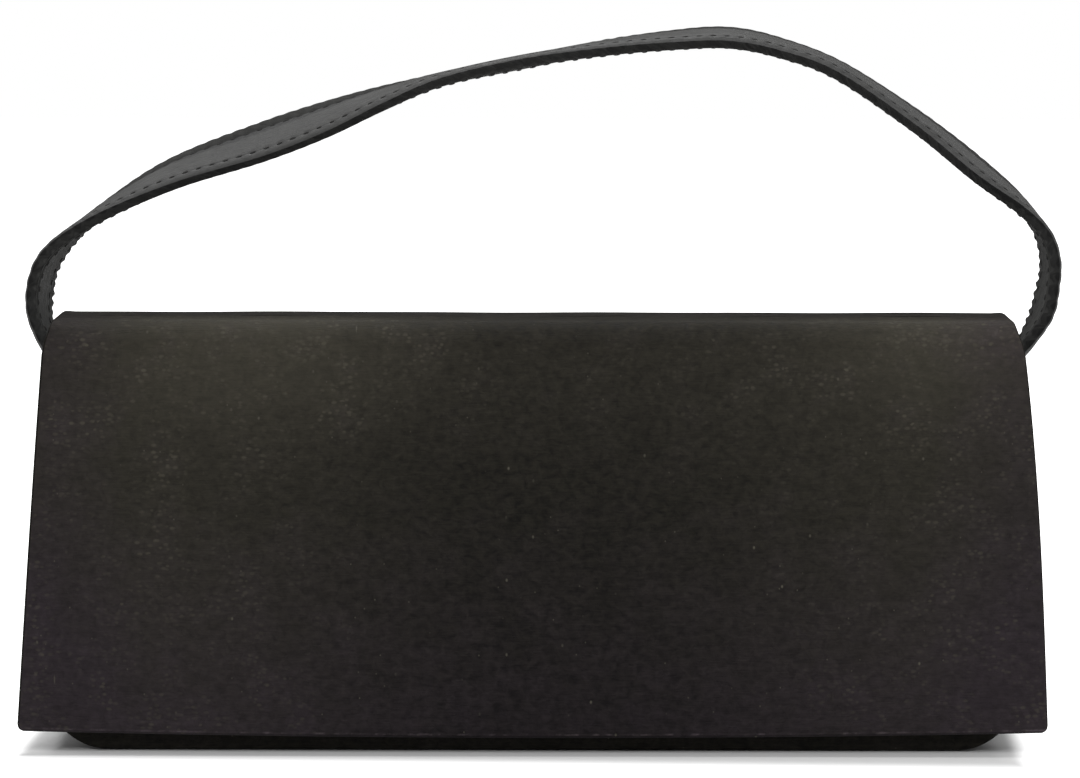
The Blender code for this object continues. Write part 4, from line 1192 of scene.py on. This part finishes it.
def pocketStitchPaths(look):
    # down each side and along the foot, and along the hem
    facing = Vector((0, -cos(lean), -sin(lean)))
    lift, across = look["thickness"] / 2 + look["stitchLift"], look["stitchAcross"]
    low, high = look["stitchRise"]
    shares = spread(-across, across, 60)
    seam = [(-across, rise) for rise in spread(high, low, 30)] + [(share, low) for share in shares[1:]]
    seam += [(across, rise) for rise in spread(low, high, 30)[1:]]
    hem = [(share, 1 - look["hem"] / look["height"]) for share in shares]
    return [[(pocketPoint(*place, look, lift), facing) for place in line] for line in (seam, hem)]


strapStitchLook = {
    "Pitch": 0.0, "Length": 0.0017, "Width": 0.0007, "Height": 0.0005, "Slant": 0.06, "Seed": 7,
}
tabStitchLook = {
    "Pitch": 0.0030, "Length": 0.0021, "Width": 0.0004, "Height": 0.0003, "Slant": 0.04, "Seed": 3,
}
pocketStitchLook = dict(tabStitchLook, Seed=5)
strapStitches = stitches("strapStitches", strapStitchPaths(strapLook), strapStitchLook, sewingThread)
tabStitches = stitches(
    "tabStitches", [tabStitchPath(side, tabLook) for side in (-1, 1)], tabStitchLook, sewingThread
)
pocketStitches = stitches("pocketStitches", pocketStitchPaths(pocketLook), pocketStitchLook, sewingThread)
print("stitches made")


# What the body's and strap's pieces ride on, and what each piece takes the place of

inBody, inSpine, inFlap, inStrap = "body", "spine", "flap", "strap"
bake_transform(flapCover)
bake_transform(backCover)
# the linings go round the inner side of the folds, a stack further in
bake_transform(flapLining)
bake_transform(spineLining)
for piece in (frontCover, gussetBand, bodyLining, slipPocket, leftTab, rightTab, tabStitches, pocketStitches):
    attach(piece, inBody)
for piece in (strapSkin, strapLiner, strapStitches):
    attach(piece, inStrap)
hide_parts("flap_cover")
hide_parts("back_cover", "spine_cover")
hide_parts("front_cover")
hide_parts("left_gusset", "right_gusset", "base_cover")
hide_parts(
    "front_lining", "back_lining", "base_lining", "left_gusset_lining", "right_gusset_lining"
)
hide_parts("slip_pocket")
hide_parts("flap_lining")
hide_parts("spine_lining")
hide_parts("left_strap_tab")
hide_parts("right_strap_tab")
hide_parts("strap_face", "strap_core")
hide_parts("strap_backing")


# Floor, light and camera

studio = {
    "floorSize": 3.0, "floorHeight": -0.0002, "floorColour": "#e4e4e4", "grainLift": 1.03,
    "grainScale": 60.0, "ambient": 0.22,
    # the floor turns white past the bag: across (X) and along (Y), from one place to another,
    # with these lines turned a few degrees about the bag's middle
    "whitePast": (
        ("X", 0.1221, 0.1297), ("X", -0.1270, -0.1340), ("Y", -0.0255, -0.0420), ("Y", 0.026, 0.075),
    ),
    "whiteTurn": 2.3,
    "lamps": (
        # name, place, aimed at, width, height, power
        ("overheadSoftbox", (-0.11, 0.10, 1.25), (0.0, 0.03, 0.10), 0.60, 0.40, 9.0),
        ("frontSoftbox", (-0.15, -1.25, 1.05), (0.0, 0.0, 0.05), 0.9, 0.6, 11.5),
        ("backSoftbox", (0.20, 1.25, 1.00), (0.0, 0.0, 0.05), 0.9, 0.6, 10.0),
        ("leftSoftbox", (-0.42, -0.32, 0.30), (-0.08, 0.0, 0.05), 0.25, 0.25, 0.2),
        ("rightSoftbox", (0.42, -0.32, 0.30), (0.08, 0.0, 0.05), 0.25, 0.25, 0.4),
    ),
}


def floorMaterial(look):
    # Matt seamless paper: white away from the bag, and its shadow stays near it
    surface, tree = newMaterial("seamlessPaper")
    place = addNode(tree, "ShaderNodeTexCoord", {}, "Object")
    grain = addNode(tree, "ShaderNodeTexNoise", {"Vector": place, "Scale": look["grainScale"], "Detail": 2.0})
    paper = linear(look["floorColour"])
    pale = [min(look["grainLift"] * part, 1) for part in paper]
    colour = addNode(tree, "ShaderNodeMix", {"Factor": grain, 6: paper, 7: pale}, 2, data_type="RGBA")
    place = addNode(tree, "ShaderNodeMapping", {
        "Vector": place, "Rotation": (0, 0, radians(look["whiteTurn"])),
    })
    place = addNode(tree, "ShaderNodeSeparateXYZ", {"Vector": place}).node.outputs
    lift = 0.0
    for axis, start, end in look["whitePast"]:
        past = addNode(tree, "ShaderNodeMapRange", {
            "Value": place[axis], "From Min": start, "From Max": end,
        }, interpolation_type="SMOOTHSTEP")
        lift = addNode(tree, "ShaderNodeMath", (lift, past), operation="MAXIMUM")
    lift = addNode(tree, "ShaderNodeMath", (lift, seenRay(tree)), operation="MULTIPLY")
    shade(tree, {
        "Specular IOR Level": 0.0, "Emission Color": (1, 1, 1, 1), "Emission Strength": lift,
    }, colour, 0.9)
    return surface


def seenRay(tree):
    # 1 for what the camera, a gloss or glass sees, 0 for light that falls on things
    ray = addNode(tree, "ShaderNodeLightPath", {}).node.outputs
    seen = ray["Is Camera Ray"]
    for kind in ("Is Glossy Ray", "Is Transmission Ray"):
        seen = addNode(tree, "ShaderNodeMath", (seen, ray[kind]), operation="MAXIMUM")
    return seen


def makeStudio(look):
    build = bmesh.new()
    bmesh.ops.create_grid(build, x_segments=1, y_segments=1, size=look["floorSize"])
    bmesh.ops.translate(build, verts=build.verts, vec=(0, 0, look["floorHeight"]))
    floor = newPiece("floor", newMesh("floor", build), floorMaterial(look))
    for name, place, target, width, height, power in look["lamps"]:
        lamp = bpy.data.lights.new(name, "AREA")
        lamp.shape, lamp.size, lamp.size_y, lamp.energy = "RECTANGLE", width, height, power
        holder = newObject(name, lamp)
        holder.location = place
        holder.rotation_euler = (Vector(target) - Vector(place)).to_track_quat("-Z", "Y").to_euler()
        holder.visible_camera = False
        holder.visible_glossy = name != "backSoftbox"
    world = bpy.data.worlds.new("whiteStudio")
    scene.world = world
    world.use_nodes = True
    tree = world.node_tree
    tree.nodes.clear()
    strength = addNode(tree, "ShaderNodeMath", (
        seenRay(tree), 1 - look["ambient"], look["ambient"],
    ), operation="MULTIPLY_ADD")
    sky = addNode(tree, "ShaderNodeBackground", {"Color": (1, 1, 1, 1), "Strength": strength})
    addNode(tree, "ShaderNodeOutputWorld", {"Surface": sky})


makeStudio(studio)

view = {
    "place": (0.001744, -1.00255, 0.21402), "downDegrees": 7.0, "roll": 0.002, "lens": 130.6,
    "sensorWidth": 36.0, "clip": (0.05, 20),
}


def makeCamera(look):
    camera = bpy.data.cameras.new("photoView")
    camera.lens, camera.sensor_width, camera.sensor_fit = look["lens"], look["sensorWidth"], "HORIZONTAL"
    camera.clip_start, camera.clip_end = look["clip"]
    holder = newObject("photoView", camera)
    tilt = Matrix.Rotation(radians(90 - look["downDegrees"]), 4, "X")
    holder.matrix_world = Matrix.Translation(look["place"]) @ tilt @ Matrix.Rotation(look["roll"], 4, "Z")
    scene.camera = holder


makeCamera(view)
scene.view_settings.view_transform = "Standard"
